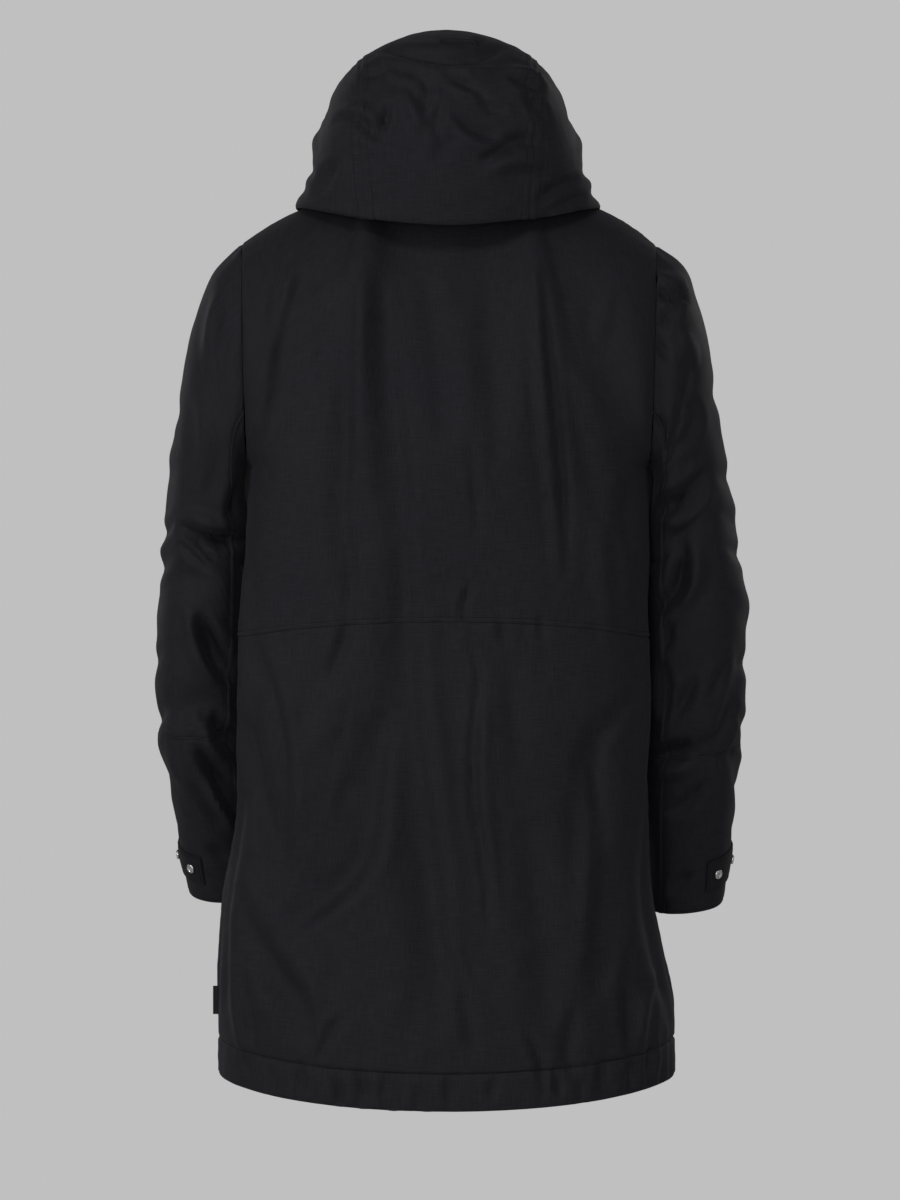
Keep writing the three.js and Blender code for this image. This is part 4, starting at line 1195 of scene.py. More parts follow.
BODY_CREASES: Creases = {
    View.BACK: (
        # From the neck and armholes down the upper back
        ridge((152, -38), (178, -129), (186, -193), (194, -244), wide=8, high=2.2),
        trough((164, -27), (174, -80), (182, -135), wide=6, deep=1.8),
        trough((127, -51), (163, -90), (173, -155), wide=11, deep=2.4),
        trough((101, -59), (119, -129), (127, -180), wide=11, deep=2.2),
        trough((95, -48), (100, -149), (103, -222), (106, -294), (99, -366), (102, -409), wide=10, deep=3.2, lean=-0.3),
        ridge((84, -60), (88, -149), (84, -222), (80, -290), wide=11, high=2.2),
        trough((66, -48), (63, -113), (56, -185), (48, -258), (45, -330), (41, -409), wide=13, deep=4.0, lean=-0.3),
        trough((20, -60), (10, -150), (1, -240), wide=14, deep=3.0),
        trough((-22, -222), (-29, -294), (-28, -330), wide=5, deep=1.6),
        trough((-40, -60), (-46, -150), (-50, -260), wide=14, deep=2.4),
        ridge((-84, -27), (-88, -77), (-93, -149), (-99, -222), (-106, -294), (-110, -366), wide=7, high=2.4),
        trough((-95, -60), (-103, -149), (-110, -222), (-117, -294), (-121, -366), wide=6, deep=2.8),
        trough((-110, -149), (-128, -200), (-139, -243), (-153, -308), wide=12, deep=2.4),
        ridge((-162, -70), (-151, -129), wide=8, high=1.6),
        trough((-198, -244), (-182, -283), (-182, -345), wide=10, deep=2.6),
        ridge((-150, -300), (-158, -380), (-160, -440), wide=9, high=1.8),
        ridge((-176, -310), (-180, -400), wide=6, high=1.4),
        # Over the waist seam
        trough((96, -318), (96, -376), (101, -408), wide=6, deep=1.8, power=1.6),
        trough((92, -396), (104, -427), (118, -474), wide=6, deep=2.2, power=1.6),
        ridge((110, -395), (118, -425), (130, -462), wide=7, high=1.4),
        trough((-23, -365), (-16, -391), (-17, -408), wide=4, deep=2.8, power=1.6),
        trough((-52, -404), (-60, -440), wide=5, deep=1.6),
        trough((-92, -398), (-96, -430), wide=5, deep=1.6),
        # Down the lower back
        trough((-20, -408), (-27, -444), (-31, -466), (-26, -516), (-26, -595), (-34, -631), (-42, -718), wide=5, deep=2.4),
        ridge((-38, -480), (-36, -560), (-44, -640), (-52, -700), wide=7, high=1.8),
        trough((199, -422), (178, -479), (168, -543), (166, -633), (160, -680), wide=13, deep=4.2, lean=-0.3),
        trough((211, -490), (194, -543), (183, -603), (173, -659), wide=9, deep=2.6),
        ridge((189, -470), (180, -540), (177, -620), wide=8, high=2.0),
        trough((64, -494), (74, -566), (83, -631), (106, -667), (142, -700), (174, -732), wide=17, deep=7.6, lean=-0.25),
        ridge((96, -440), (118, -500), (140, -560), (150, -620), wide=15, high=2.0),
        ridge((86, -520), (116, -580), (142, -650), wide=17, high=3.4),
        trough((43, -324), (42, -430), (34, -530), (23, -624), (12, -732), (9, -833), wide=19, deep=7.0, lean=-0.3),
        trough((5, -725), (-20, -797), (-27, -848), wide=7, deep=1.8),
        trough((214, -675), (196, -721), (171, -761), (149, -790), (138, -833), wide=14, deep=5.6, lean=-0.2),
        ridge((196, -760), (178, -800), (172, -840), wide=10, high=2.2),
        trough((-197, -473), (-175, -502), (-153, -523), (-146, -552), (-150, -600), wide=10, deep=2.6, lean=-0.3),
        ridge((-138, -540), (-140, -640), (-138, -700), (-134, -750), wide=9, high=2.6),
        trough((-158, -640), (-156, -720), (-148, -790), wide=14, deep=3.8),
        trough((-80, -600), (-96, -740), (-98, -820), wide=18, deep=3.2),
        trough((-62, -440), (-70, -560), wide=13, deep=1.6),
        # Above the hem and over it
        ridge((218, -747), (211, -812), (206, -850), wide=7, high=3.0),
        trough((208, -760), (198, -820), (194, -852), wide=6, deep=2.4),
        trough((106, -797), (131, -848), wide=6, deep=2.8),
        trough((120, -740), (112, -800), wide=9, deep=1.4),
        trough((30, -760), (40, -850), wide=12, deep=1.4),
        trough((-78, -812), (-92, -848), (-96, -884), wide=5, deep=3.2, power=1.6),
        trough((-128, -790), (-120, -830), (-122, -870), wide=8, deep=2.4),
        trough((-182, -732), (-181, -790), (-186, -850), wide=7, deep=3.2),
        ridge((-211, -761), (-197, -797), (-188, -848), wide=7, high=3.4),
        trough((176, -850), (180, -884), wide=4, deep=2.2),
        trough((112, -856), (106, -890), wide=4, deep=2.2),
        trough((30, -868), (32, -900), wide=5, deep=1.6),
        trough((-131, -862), (-134, -892), wide=4, deep=2.2),
        trough((-182, -846), (-186, -880), wide=4, deep=2.2),
        trough((206, -836), (201, -868), wide=5, deep=2.6),
        trough((148, -846), (144, -882), wide=5, deep=2.8),
        trough((86, -852), (82, -884), wide=5, deep=2.2),
        trough((62, -856), (65, -890), wide=4, deep=2.0),
        trough((2, -858), (-3, -892), wide=5, deep=2.6),
        trough((-46, -858), (-42, -888), wide=5, deep=2.4),
        trough((-106, -850), (-112, -886), wide=5, deep=3.0),
        trough((-156, -844), (-152, -878), wide=5, deep=2.6),
        trough((-208, -832), (-201, -864), wide=5, deep=2.8),
    ),
    View.FRONT: (
        trough((150, -95), (128, -180), (118, -290), wide=13, deep=4.0),
        ridge((122, -100), (104, -200), (98, -300), wide=11, high=3.0),
        trough((76, -120), (68, -240), (72, -350), wide=12, deep=3.0),
        trough((194, -230), (162, -300), (150, -390), wide=12, deep=4.0),
        trough((130, -396), (120, -450), wide=6, deep=3.2, power=1.5),
        trough((66, -402), (74, -452), wide=5, deep=2.4, power=1.5),
        trough((110, -440), (128, -540), (160, -640), (178, -730), wide=16, deep=5.5),
        trough((60, -420), (64, -520), (58, -640), (50, -740), wide=15, deep=3.6),
        ridge((86, -470), (94, -600), (88, -720), wide=12, high=3.6),
        trough((198, -490), (184, -600), (190, -700), wide=11, deep=4.0),
        ridge((210, -740), (200, -850), wide=9, high=3.0),
        trough((120, -770), (132, -850), wide=11, deep=2.2),
        trough((-146, -98), (-126, -190), (-120, -300), wide=13, deep=4.0),
        ridge((-118, -110), (-100, -220), (-104, -320), wide=11, high=3.0),
        trough((-72, -118), (-64, -260), wide=10, deep=2.5),
        trough((-194, -236), (-166, -310), (-158, -400), wide=12, deep=4.0),
        trough((-118, -396), (-110, -450), wide=6, deep=3.0, power=1.5),
        trough((-104, -450), (-118, -560), (-148, -660), (-172, -770), wide=16, deep=5.5),
        trough((-58, -430), (-62, -560), (-54, -700), wide=14, deep=3.4),
        ridge((-84, -440), (-90, -600), (-82, -740), wide=12, high=3.4),
        trough((-192, -510), (-178, -620), (-188, -740), wide=11, deep=4.0),
        trough((-110, -780), (-100, -856), wide=11, deep=2.2),
    ),
    View.LEFT: (
        trough((20, -300), (32, -400), (18, -510), wide=12, deep=4.0),
        ridge((54, -330), (62, -470), (50, -600), wide=11, high=3.2),
        trough((-34, -420), (-22, -560), (-32, -700), wide=13, deep=4.0),
        ridge((-2, -580), (10, -700), (0, -820), wide=11, high=3.2),
        trough((66, -560), (48, -690), (54, -810), wide=12, deep=3.6),
        trough((-60, -700), (-50, -830), wide=10, deep=2.6),
        ridge((20, -240), (15, -262), (8, -296), wide=16, high=2.4),
    ),
    View.RIGHT: (
        trough((26, -300), (14, -400), (26, -500), wide=12, deep=4.0),
        ridge((60, -360), (54, -480), (64, -590), wide=11, high=3.2),
        trough((-30, -440), (-38, -560), (-24, -690), wide=13, deep=4.0),
        ridge((4, -560), (-4, -700), (8, -810), wide=11, high=3.2),
        trough((50, -590), (62, -700), (50, -820), wide=12, deep=3.6),
        trough((-56, -690), (-66, -830), wide=10, deep=2.6),
        ridge((20, -240), (15, -262), (8, -296), wide=16, high=2.8),
    ),
    View.TOP: (
        ridge((100, -2), (160, -4), (214, -4), wide=36, high=2.4),
        ridge((-100, -2), (-160, -4), (-214, -4), wide=36, high=4.6),
    ),
}

LEFT_SLEEVE_CREASES: Creases = {
    View.BACK: (
        trough((214, -12), (202, -22), (188, -36), wide=6, deep=3.0),
        ridge((232, -70), (246, -135), wide=8, high=2.6),
        trough((222, -90), (232, -150), (226, -210), wide=9, deep=2.8),
        ridge((250, -170), (246, -230), (258, -285), wide=9, high=2.4),
        trough((206, -262), (214, -290), (219, -314), wide=9, deep=5.0),
        trough((280, -309), (238, -325), (202, -323), wide=6, deep=6.0, power=1.5),
        ridge((268, -297), (236, -309), (208, -306), wide=7, high=3.0),
        trough((272, -316), (254, -330), (238, -347), wide=5, deep=3.2, power=1.5),
        trough((276, -326), (260, -342), (243, -357), wide=5, deep=2.8, power=1.5),
        trough((256, -398), (240, -438), (220, -473), wide=9, deep=6.0),
        ridge((268, -392), (256, -440), (238, -474), wide=8, high=2.8),
        trough((242, -500), (228, -526), (215, -550), wide=8, deep=6.0, power=1.6),
        ridge((262, -498), (248, -528), (232, -552), wide=7, high=2.8),
        trough((258, -538), (237, -570), (217, -610), wide=9, deep=6.4, power=1.6),
        trough((272, -556), (252, -590), (231, -624), wide=8, deep=3.0),
        ridge((250, -560), (238, -594), (224, -622), wide=7, high=2.4),
        trough((250, -640), (222, -664), wide=7, deep=2.2),
    ),
    View.LEFT: (
        trough((-74, -150), (-34, -188), (20, -196), wide=12, deep=1.4),
        ridge((-60, -210), (-20, -236), (30, -240), wide=11, high=1.0),
        trough((32, -300), (-20, -318), (-74, -300), wide=7, deep=1.9, power=1.6),
        ridge((14, -322), (-40, -338), (-84, -322), wide=7, high=1.2),
        trough((24, -338), (-30, -356), (-84, -345), wide=8, deep=1.5, power=1.7),
        ridge((-38, -372), (-44, -430), wide=11, high=1.0),
        trough((-90, -430), (-50, -452), (4, -440), wide=10, deep=1.4),
        trough((2, -494), (-50, -514), (-98, -506), wide=8, deep=1.9, power=1.6),
        ridge((-4, -526), (-58, -544), (-104, -534), wide=8, high=1.3),
        trough((-16, -552), (-68, -580), (-118, -584), wide=9, deep=1.7, power=1.7),
        trough((-50, -610), (-90, -640), (-126, -640), wide=9, deep=1.0),
        ridge((-16, -190), (-30, -330), (-38, -470), (-60, -590), (-92, -680), wide=30, high=1.8),
    ),
    View.FRONT: (
        trough((262, -120), (240, -190), (216, -232), wide=12, deep=3.6),
        trough((284, -328), (250, -346), (214, -372), wide=8, deep=4.8, power=1.6),
        ridge((286, -352), (252, -372), (220, -398), wide=8, high=3.0),
        trough((290, -398), (250, -420), (210, -440), wide=9, deep=3.8),
        trough((292, -498), (250, -518), (206, -510), wide=8, deep=4.8, power=1.6),
        ridge((286, -524), (248, -544), (208, -536), wide=8, high=3.0),
        trough((280, -560), (240, -586), (204, -600), wide=9, deep=3.8),
    ),
    View.RIGHT: (
        trough((-64, -330), (-10, -350), (24, -348), wide=9, deep=3.6),
        trough((-92, -418), (-44, -440), (-6, -436), wide=9, deep=3.6),
        trough((-104, -516), (-54, -530), (-10, -520), wide=8, deep=4.2),
        trough((-122, -590), (-84, -600), (-50, -590), wide=8, deep=3.2),
    ),
}

RIGHT_SLEEVE_CREASES: Creases = {
    View.BACK: (
        trough((-206, -71), (-228, -77), (-252, -76), wide=5, deep=3.6, power=1.5),
        ridge((-208, -58), (-230, -62), (-246, -62), wide=8, high=3.0),
        trough((-211, -106), (-224, -98), (-238, -88), wide=6, deep=2.8),
        trough((-208, -116), (-216, -130), (-226, -143), wide=6, deep=2.8),
        ridge((-240, -112), (-250, -150), wide=8, high=2.4),
        trough((-237, -174), (-249, -192), (-250, -207), (-240, -224), (-226, -240), wide=7, deep=3.2),
        trough((-208, -200), (-222, -220), (-220, -260), wide=9, deep=3.0),
        trough((-204, -298), (-236, -284), (-262, -254), wide=9, deep=6.4, power=1.6),
        ridge((-214, -276), (-240, -264), (-258, -240), wide=8, high=3.0),
        ridge((-222, -312), (-250, -300), (-272, -274), wide=8, high=2.6),
        trough((-240, -326), (-236, -363), (-224, -386), (-203, -402), wide=8, deep=5.6, power=1.7),
        ridge((-256, -330), (-252, -368), (-238, -396), wide=8, high=2.6),
        trough((-227, -408), (-223, -437), wide=5, deep=2.6),
        trough((-219, -448), (-221, -510), wide=7, deep=4.0),
        trough((-254, -464), (-242, -488), (-229, -509), wide=7, deep=3.4, power=1.6),
        trough((-290, -450), (-279, -468), (-268, -487), wide=6, deep=3.0, power=1.6),
        trough((-294, -486), (-282, -522), (-257, -536), wide=7, deep=3.6, power=1.6),
        trough((-252, -534), (-226, -544), (-204, -548), wide=9, deep=6.4, power=1.6),
        ridge((-262, -552), (-236, -560), (-212, -564), wide=8, high=2.6),
        trough((-270, -570), (-240, -600), (-222, -606), wide=8, deep=3.2),
        trough((-254, -668), (-240, -680), (-230, -694), wide=6, deep=2.4),
    ),
    View.RIGHT: (
        trough((-70, -140), (-28, -170), (26, -178), wide=12, deep=1.4),
        trough((-66, -240), (-20, -262), (34, -256), wide=10, deep=1.6),
        ridge((-70, -274), (-24, -292), (24, -286), wide=9, high=1.2),
        trough((-80, -320), (-30, -340), (26, -330), wide=8, deep=1.7, power=1.7),
        ridge((-44, -366), (-40, -420), wide=11, high=1.0),
        trough((-92, -432), (-46, -452), (8, -448), wide=9, deep=1.4),
        trough((4, -500), (-46, -520), (-94, -516), wide=8, deep=1.9, power=1.6),
        ridge((0, -530), (-52, -550), (-98, -546), wide=8, high=1.3),
        trough((-12, -560), (-62, -586), (-108, -590), wide=9, deep=1.7, power=1.7),
        trough((-40, -612), (-84, -640), (-118, -646), wide=9, deep=1.0),
        ridge((-10, -120), (-24, -250), (-34, -400), (-44, -530), (-84, -680), wide=30, high=2.2),
    ),
    View.FRONT: (
        trough((-258, -110), (-238, -176), (-214, -226), wide=12, deep=3.6),
        trough((-286, -318), (-250, -336), (-214, -364), wide=8, deep=4.8, power=1.6),
        ridge((-288, -342), (-252, -362), (-222, -390), wide=8, high=3.0),
        trough((-300, -408), (-256, -430), (-214, -446), wide=9, deep=3.8),
        trough((-302, -508), (-256, -530), (-210, -524), wide=8, deep=4.8, power=1.6),
        ridge((-298, -534), (-252, -556), (-212, -550), wide=8, high=3.0),
        trough((-292, -576), (-250, -598), (-212, -612), wide=9, deep=3.8),
    ),
    View.LEFT: (
        trough((-62, -336), (-8, -352), (24, -350), wide=9, deep=3.6),
        trough((-86, -424), (-40, -444), (0, -440), wide=9, deep=3.6),
        trough((-94, -526), (-46, -540), (-2, -530), wide=8, deep=4.2),
        trough((-112, -598), (-74, -608), (-40, -598), wide=8, deep=3.2),
    ),
}

HOOD_CREASES: Creases = {
    View.BACK: (
        trough((-58, 176), (-38, 164), (-12, 158), (13, 160), (44, 165), (74, 175), wide=7, deep=4.6, power=1.6),
        ridge((74, 168), (44, 156), (22, 146), (3, 142), (-28, 145), (-56, 154), wide=7, high=3.2),
        trough((-12, 153), (-34, 152), (-58, 154), wide=4, deep=2.0, power=1.5),
        trough((88, 140), (70, 146), (53, 150), wide=6, deep=3.4, power=1.6),
        trough((-27, 187), (-34, 172), wide=4, deep=2.6),
        trough((10, 146), (-18, 130), (-34, 120), wide=5, deep=2.6, power=1.6),
        ridge((-2, 134), (-22, 118), (-40, 112), wide=5, high=2.0),
        trough((26, 146), (20, 122), (24, 100), wide=5, deep=2.2, power=1.6),
        trough((-28, 120), (-44, 106), (-58, 104), wide=5, deep=2.4, power=1.6),
        ridge((64, 150), (50, 138), (30, 134), wide=5, high=2.0),
        trough((6, 112), (12, 90), (6, 70), wide=6, deep=2.2),
        ridge((-56, 148), (-80, 144), (-104, 132), wide=6, high=3.0),
        trough((-62, 140), (-84, 132), (-98, 122), wide=6, deep=3.0),
        trough((118, 98), (96, 101), (80, 85), (62, 62), wide=6, deep=3.6, power=1.6),
        ridge((104, 112), (88, 104), (72, 100), wide=7, high=2.4),
        trough((58, 116), (66, 90), (74, 73), wide=5, deep=4.2, power=1.6),
        ridge((47, 126), (34, 102), (28, 80), wide=6, high=3.4),
        trough((-5, 102), (-28, 83), (-60, 76), wide=6, deep=3.4, power=1.6),
        ridge((-6, 86), (-30, 68), (-50, 62), wide=7, high=2.4),
        trough((-30, 50), (-54, 65), (-69, 75), (-104, 72), wide=6, deep=3.4, power=1.6),
        ridge((-40, 42), (-66, 54), (-100, 54), wide=8, high=2.8),
        trough((-76, 124), (-90, 108), (-102, 94), wide=6, deep=3.0),
        trough((-88, 12), (-110, 30), (-136, 46), wide=6, deep=3.0),
        trough((-98, 2), (-120, 16), (-142, 28), wide=6, deep=2.4),
        trough((14, 54), (3, 67), (-8, 80), wide=8, deep=2.0),
        trough((110, 60), (124, 40), (134, 22), wide=7, deep=2.6),
    ),
    View.LEFT: (
        trough((-70, 132), (-20, 128), (34, 110), wide=9, deep=3.4),
        ridge((-84, 100), (-24, 94), (44, 74), wide=9, high=3.0),
        trough((-88, 74), (-20, 66), (56, 44), wide=9, deep=3.8),
        trough((-50, 28), (0, 40), (46, 30), wide=8, deep=2.6),
        trough((-98, 40), (-70, 20), (-40, 10), wide=7, deep=2.6),
    ),
    View.RIGHT: (
        trough((-64, 136), (-14, 126), (40, 102), wide=9, deep=3.4),
        ridge((-80, 106), (-20, 92), (46, 70), wide=9, high=3.0),
        trough((-92, 70), (-24, 60), (50, 48), wide=9, deep=3.8),
        trough((-56, 24), (-4, 36), (42, 26), wide=8, deep=2.6),
        trough((-100, 46), (-74, 24), (-44, 12), wide=7, deep=2.6),
    ),
    View.TOP: (
        trough((-62, -64), (-14, -50), (44, -60), wide=9, deep=2.6),
        ridge((-58, -30), (0, -20), (60, -34), wide=10, high=2.2),
        trough((-60, 6), (-6, 14), (58, 2), wide=9, deep=2.4),
    ),
}


@dataclass
class Torso:
    """Back, fronts and flap of the parka."""

    form: BodyForm
    wardrobe: Wardrobe
    stitching: Stitching
    flap_columns: tuple[float, float] = (-32.0, 34.0)
    flap_rows: tuple[float, float] = (0.02, 3.95)
    flap_lift: float = 3.3
    hem_band: float = 37.0
    pitch: float = 4.0

    def hem(self) -> Seam:
        """Return the finish of the hem."""
        return Seam(
            Edge.FIRST_ROW,
            (self.hem_band,),
            raised=0.2,
            groove=2.2,
            groove_width=1.2,
            pucker=2.2,
            pucker_length=26.0,
            reach=40.0,
        )

    def seam(self, edge: Edge) -> Seam:
        """Return the finish of a plain seam."""
        return Seam(edge, pucker=0.5)

    def panel(self, node: str, form: Form, columns: tuple, rows: tuple, seams: tuple[Seam, ...]) -> None:
        """Build one panel and sew its stitch lines."""
        grid = ClothGrid(form, columns, rows, creases=BODY_CREASES, seams=seams, pitch=self.pitch, drape=1.6)
        ClothPiece(node, grid, self.wardrobe.shell).build()
        sew(grid, self.stitching)

    def front_at(self, x: Array, rise: Array) -> Array:
        """Return points of the front over x, from the hem (0) over the chest (3) to the collar's top (4)."""
        x, rise = np.broadcast_arrays(x, rise)

        def place(turn: Array) -> Array:
            """Return the point of the chest or the collar at a turn."""
            chest = self.form.front(turn, np.minimum(rise, 3.0))
            collar = self.form.neck.collar(turn, np.maximum(rise - 3.0, 0.0))
            return np.where((rise > 3.0)[..., None], collar, chest)

        low, high = np.full(x.shape, -170.0), np.full(x.shape, -10.0)
        for _ in range(26):
            turn = (low + high) / 2.0
            left_of = place(turn)[..., 0] < x
            low, high = np.where(left_of, turn, low), np.where(left_of, high, turn)
        return place((low + high) / 2.0)

    def build(self) -> None:
        """Build the torso's panels."""
        sides = (self.seam(Edge.FIRST_COLUMN), self.seam(Edge.LAST_COLUMN))
        waist = Seam(Edge.FIRST_ROW, (5.0,), raised=0.7, pucker=0.9, pucker_length=23.0)
        top = self.seam(Edge.LAST_ROW)
        below_waist = Seam(Edge.LAST_ROW, pucker=0.9, pucker_length=23.0)
        self.panel("back_lower", self.form.back, (0.0, 180.0), (0.0, 1.0), (self.hem(), below_waist, *sides))
        self.panel("back_upper", self.form.back, (0.0, 180.0), (1.0, 3.0), (waist, top, *sides))
        self.panel("front_left", self.form.front, (-90.0, 0.0), (0.0, 3.0), (self.hem(), top, *sides))
        self.panel("front_right", self.form.front, (-180.0, -90.0), (0.0, 3.0), (self.hem(), top, *sides))
        edges = tuple(Seam(edge, (5.0,), raised=0.5, roll=0.9, pucker=0.3) for edge in Edge)
        flap = ClothGrid(
            self.front_at,
            self.flap_columns,
            self.flap_rows,
            creases=BODY_CREASES,
            seams=edges,
            pitch=self.pitch,
            lift=self.flap_lift,
            drape=1.6,
        )
        ClothPiece("front_flap", flap, self.wardrobe.shell, thickness=2.5).build()
        sew(flap, self.stitching)


@dataclass
class Sleeve:
    """One sleeve of four panels, with its cuff tab and two snaps."""

    name: str
    form: SleeveForm
    creases: Creases
    wardrobe: Wardrobe
    stitching: Stitching
    hind_seam: float = 120.0
    tab_from: float = -14.0
    tab_to: float = 66.0
    tab_height: float = 30.0
    tab_above_cuff: float = 34.0
    tab_level: float = 50.0
    tab_slope: float = 0.06
    tab_lift: float = 2.3
    snap_turns: tuple[float, float] = (50.0, 6.0)
    pitch: float = 3.8

    def panel(self, part: str, columns: tuple, rows: tuple, seams: tuple[Seam, ...]) -> None:
        """Build one panel and sew its stitch lines."""
        grid = ClothGrid(
            self.form.points, columns, rows, -self.form.side, self.creases, seams, pitch=self.pitch, drape=1.9
        )
        ClothPiece(f"sleeve_{self.name}_{part}", grid, self.wardrobe.shell).build()
        sew(grid, self.stitching)

    def tab_form(self, turn: Array, up: Array) -> Array:
        """Return points under the cuff tab, up -1 at its lower edge and 1 at its upper edge."""
        level = self.form.end - self.tab_above_cuff + self.tab_slope * (turn - self.tab_level)
        return self.form.points(turn, level + up * self.tab_height / 2)

    def build(self) -> None:
        """Build the sleeve."""
        outer, under = (-self.hind_seam, self.hind_seam), (self.hind_seam, 360.0 - self.hind_seam)
        upper, lower = (0.0, self.form.elbow), (self.form.elbow, self.form.end)
        double = (1.8, 8.0)
        plain = (Seam(Edge.FIRST_COLUMN), Seam(Edge.LAST_COLUMN))
        sewn = tuple(Seam(edge, double, raised=0.6) for edge in (Edge.FIRST_COLUMN, Edge.LAST_COLUMN))
        armhole = Seam(Edge.FIRST_ROW, pucker=1.0, pucker_length=21.0, reach=20.0)
        elbow_above = Seam(Edge.LAST_ROW, pucker=0.9, pucker_length=19.0)
        elbow_below = Seam(Edge.FIRST_ROW, (2.5,), raised=0.6, pucker=0.9, pucker_length=19.0)
        cuff = Seam(Edge.LAST_ROW, (2.5,), raised=0.3, pucker=0.6, roll=0.7)
        self.panel("upper_top", outer, upper, (armhole, elbow_above, *plain))
        self.panel("upper_under", under, upper, (armhole, elbow_above, *sewn))
        self.panel("lower_top", outer, lower, (elbow_below, cuff, *plain))
        self.panel("lower_under", under, lower, (elbow_below, cuff, *sewn))
        self.build_tab()

    def build_tab(self) -> None:
        """Build the cuff tab and its snaps."""
        edges = tuple(Seam(edge, (2.4,), raised=0.2, roll=0.4, pucker=0.0) for edge in Edge)
        tab = ClothGrid(
            self.tab_form,
            (self.tab_from, self.tab_to),
            (-1.0, 1.0),
            -self.form.side,
            self.creases,
            edges,
            pitch=1.6,
            lift=self.tab_lift,
            drape=1.6,
        )
        under = f"sleeve_{self.name}_lower_top"
        name = f"cuff_tab_{self.name}"
        ClothPiece(name, tab, self.wardrobe.trim, "trim_cloth", 1.5, "laid", (under,)).build()
        sew(tab, self.stitching)
        for number, turn in enumerate(self.snap_turns, start=1):
            point, out = tab.place(turn, 0.0)
            Snap(f"snap_{self.name}_{number}", self.wardrobe.nickel).build(point, out)


@dataclass
class Snap:
    """A round metal snap cap with a raised ring and a dished middle, sizes in millimetres."""

    node: str
    material: bpy.types.Material
    profile: tuple[tuple[float, float], ...] = (
        (0.0, -0.2),
        (4.7, -0.2),
        (5.0, 0.1),
        (5.0, 0.9),
        (4.85, 1.5),
        (4.5, 2.0),
        (4.0, 2.25),
        (3.4, 2.2),
        (2.9, 1.9),
        (2.6, 1.4),
        (2.3, 1.25),
        (1.5, 1.4),
        (0.7, 1.52),
        (0.0, 1.55),
    )
    segments: int = 40

    def build(self, point: Array, out: Array) -> bpy.types.Object:
        """Return the snap, seated on a point of the tab and facing out."""
        bm = bmesh.new()
        rim = [bm.verts.new((radius, 0.0, height)) for radius, height in self.profile]
        edges = [bm.edges.new(pair) for pair in zip(rim[:-1], rim[1:])]
        bmesh.ops.spin(
            bm,
            geom=rim + edges,
            cent=(0.0, 0.0, 0.0),
            axis=(0.0, 0.0, 1.0),
            angle=2.0 * math.pi,
            steps=self.segments,
            use_merge=True,
        )
        bmesh.ops.remove_doubles(bm, verts=bm.verts, dist=1e-4)
        bmesh.ops.recalc_face_normals(bm, faces=bm.faces)
        turn = Vector((0.0, 0.0, 1.0)).rotation_difference(Vector(out)).to_matrix().to_4x4()
        place = Matrix.Scale(MM, 4) @ Matrix.Translation(Vector(point)) @ turn
        bmesh.ops.transform(bm, verts=bm.verts, matrix=place)
        mesh = bpy.data.meshes.new(self.node)
        bm.to_mesh(mesh)
        bm.free()
        mesh.shade_smooth()
        piece = add_object(f"{self.node}_cap", mesh, self.material)
        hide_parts(self.node)
        log.info("%s: %.1f mm across", self.node, 2 * max(radius for radius, _ in self.profile))
        return piece


@dataclass
class Hood:
    """The hood of three panels, the collar under it and the patch of the cord slot."""

    form: HoodForm
    wardrobe: Wardrobe
    stitching: Stitching
    topstitch: float = 9.0
    forehead_casing: float = 24.0
    patch_columns: tuple[float, float] = (87.3, 99.9)
    patch_rows: tuple[float, float] = (271.0, 283.0)
    patch_lift: float = 1.3
    pitch: float = 3.2

    def panel(self, node: str, columns: tuple[float, float], sides: tuple[Seam, Seam]) -> None:
        """Build one panel and sew its stitch lines."""
        ends = (Seam(Edge.FIRST_ROW, pucker=0.4), Seam(Edge.LAST_ROW, (self.forehead_casing,), raised=0.5))
        grid = ClothGrid(
            self.form.points,
            columns,
            (0.0, self.form.top),
            creases=HOOD_CREASES,
            seams=(*sides, *ends),
            pitch=self.pitch,
            drape=1.8,
        )
        ClothPiece(node, grid, self.wardrobe.shell).build()
        sew(grid, self.stitching)

    def build(self) -> None:
        """Build the hood and the collar."""
        seam = self.form.seam_column
        face = {"rows": (self.forehead_casing,), "raised": 0.5, "pucker": 0.7}
        joined = {"rows": (self.topstitch,), "raised": 0.8, "pucker": 0.8}
        first, last = Edge.FIRST_COLUMN, Edge.LAST_COLUMN
        self.panel("hood_left", (0.0, seam), (Seam(first, **face), Seam(last, **joined)))
        self.panel("hood_centre", (seam, 180.0 - seam), (Seam(first, **joined), Seam(last, **joined)))
        self.panel("hood_right", (180.0 - seam, 180.0), (Seam(first, **joined), Seam(last, **face)))
        self.build_patch()
        self.build_collar()

    def build_patch(self) -> None:
        """Build the small patch with the slit of the cord slot."""
        edges = tuple(Seam(edge, (1.6,), raised=0.2, roll=0.3, pucker=0.0) for edge in Edge)
        slit = {View.BACK: (*HOOD_CREASES[View.BACK], trough((9, 179), (-1, 179), wide=0.9, deep=0.9))}
        patch = ClothGrid(
            self.form.points,
            self.patch_columns,
            self.patch_rows,
            creases=HOOD_CREASES | slit,
            seams=edges,
            pitch=0.8,
            lift=self.patch_lift,
            drape=1.6,
        )
        ClothPiece("hood_slot_patch", patch, self.wardrobe.trim, "trim_cloth", 1.0, "laid", ("hood_centre",)).build()
        sew(patch, self.stitching)

    def build_collar(self) -> None:
        """Build the stand collar."""
        seams = (Seam(Edge.FIRST_ROW, (3.0,)), Seam(Edge.LAST_ROW, (6.0,), raised=0.4), *map(Seam, list(Edge)[:2]))
        collar = ClothGrid(self.form.neck.collar, (-90.0, 270.0), (0.0, 1.0), seams=seams, pitch=3.4, soft=0.4)
        ClothPiece("collar", collar, self.wardrobe.shell).build()
        sew(collar, self.stitching)


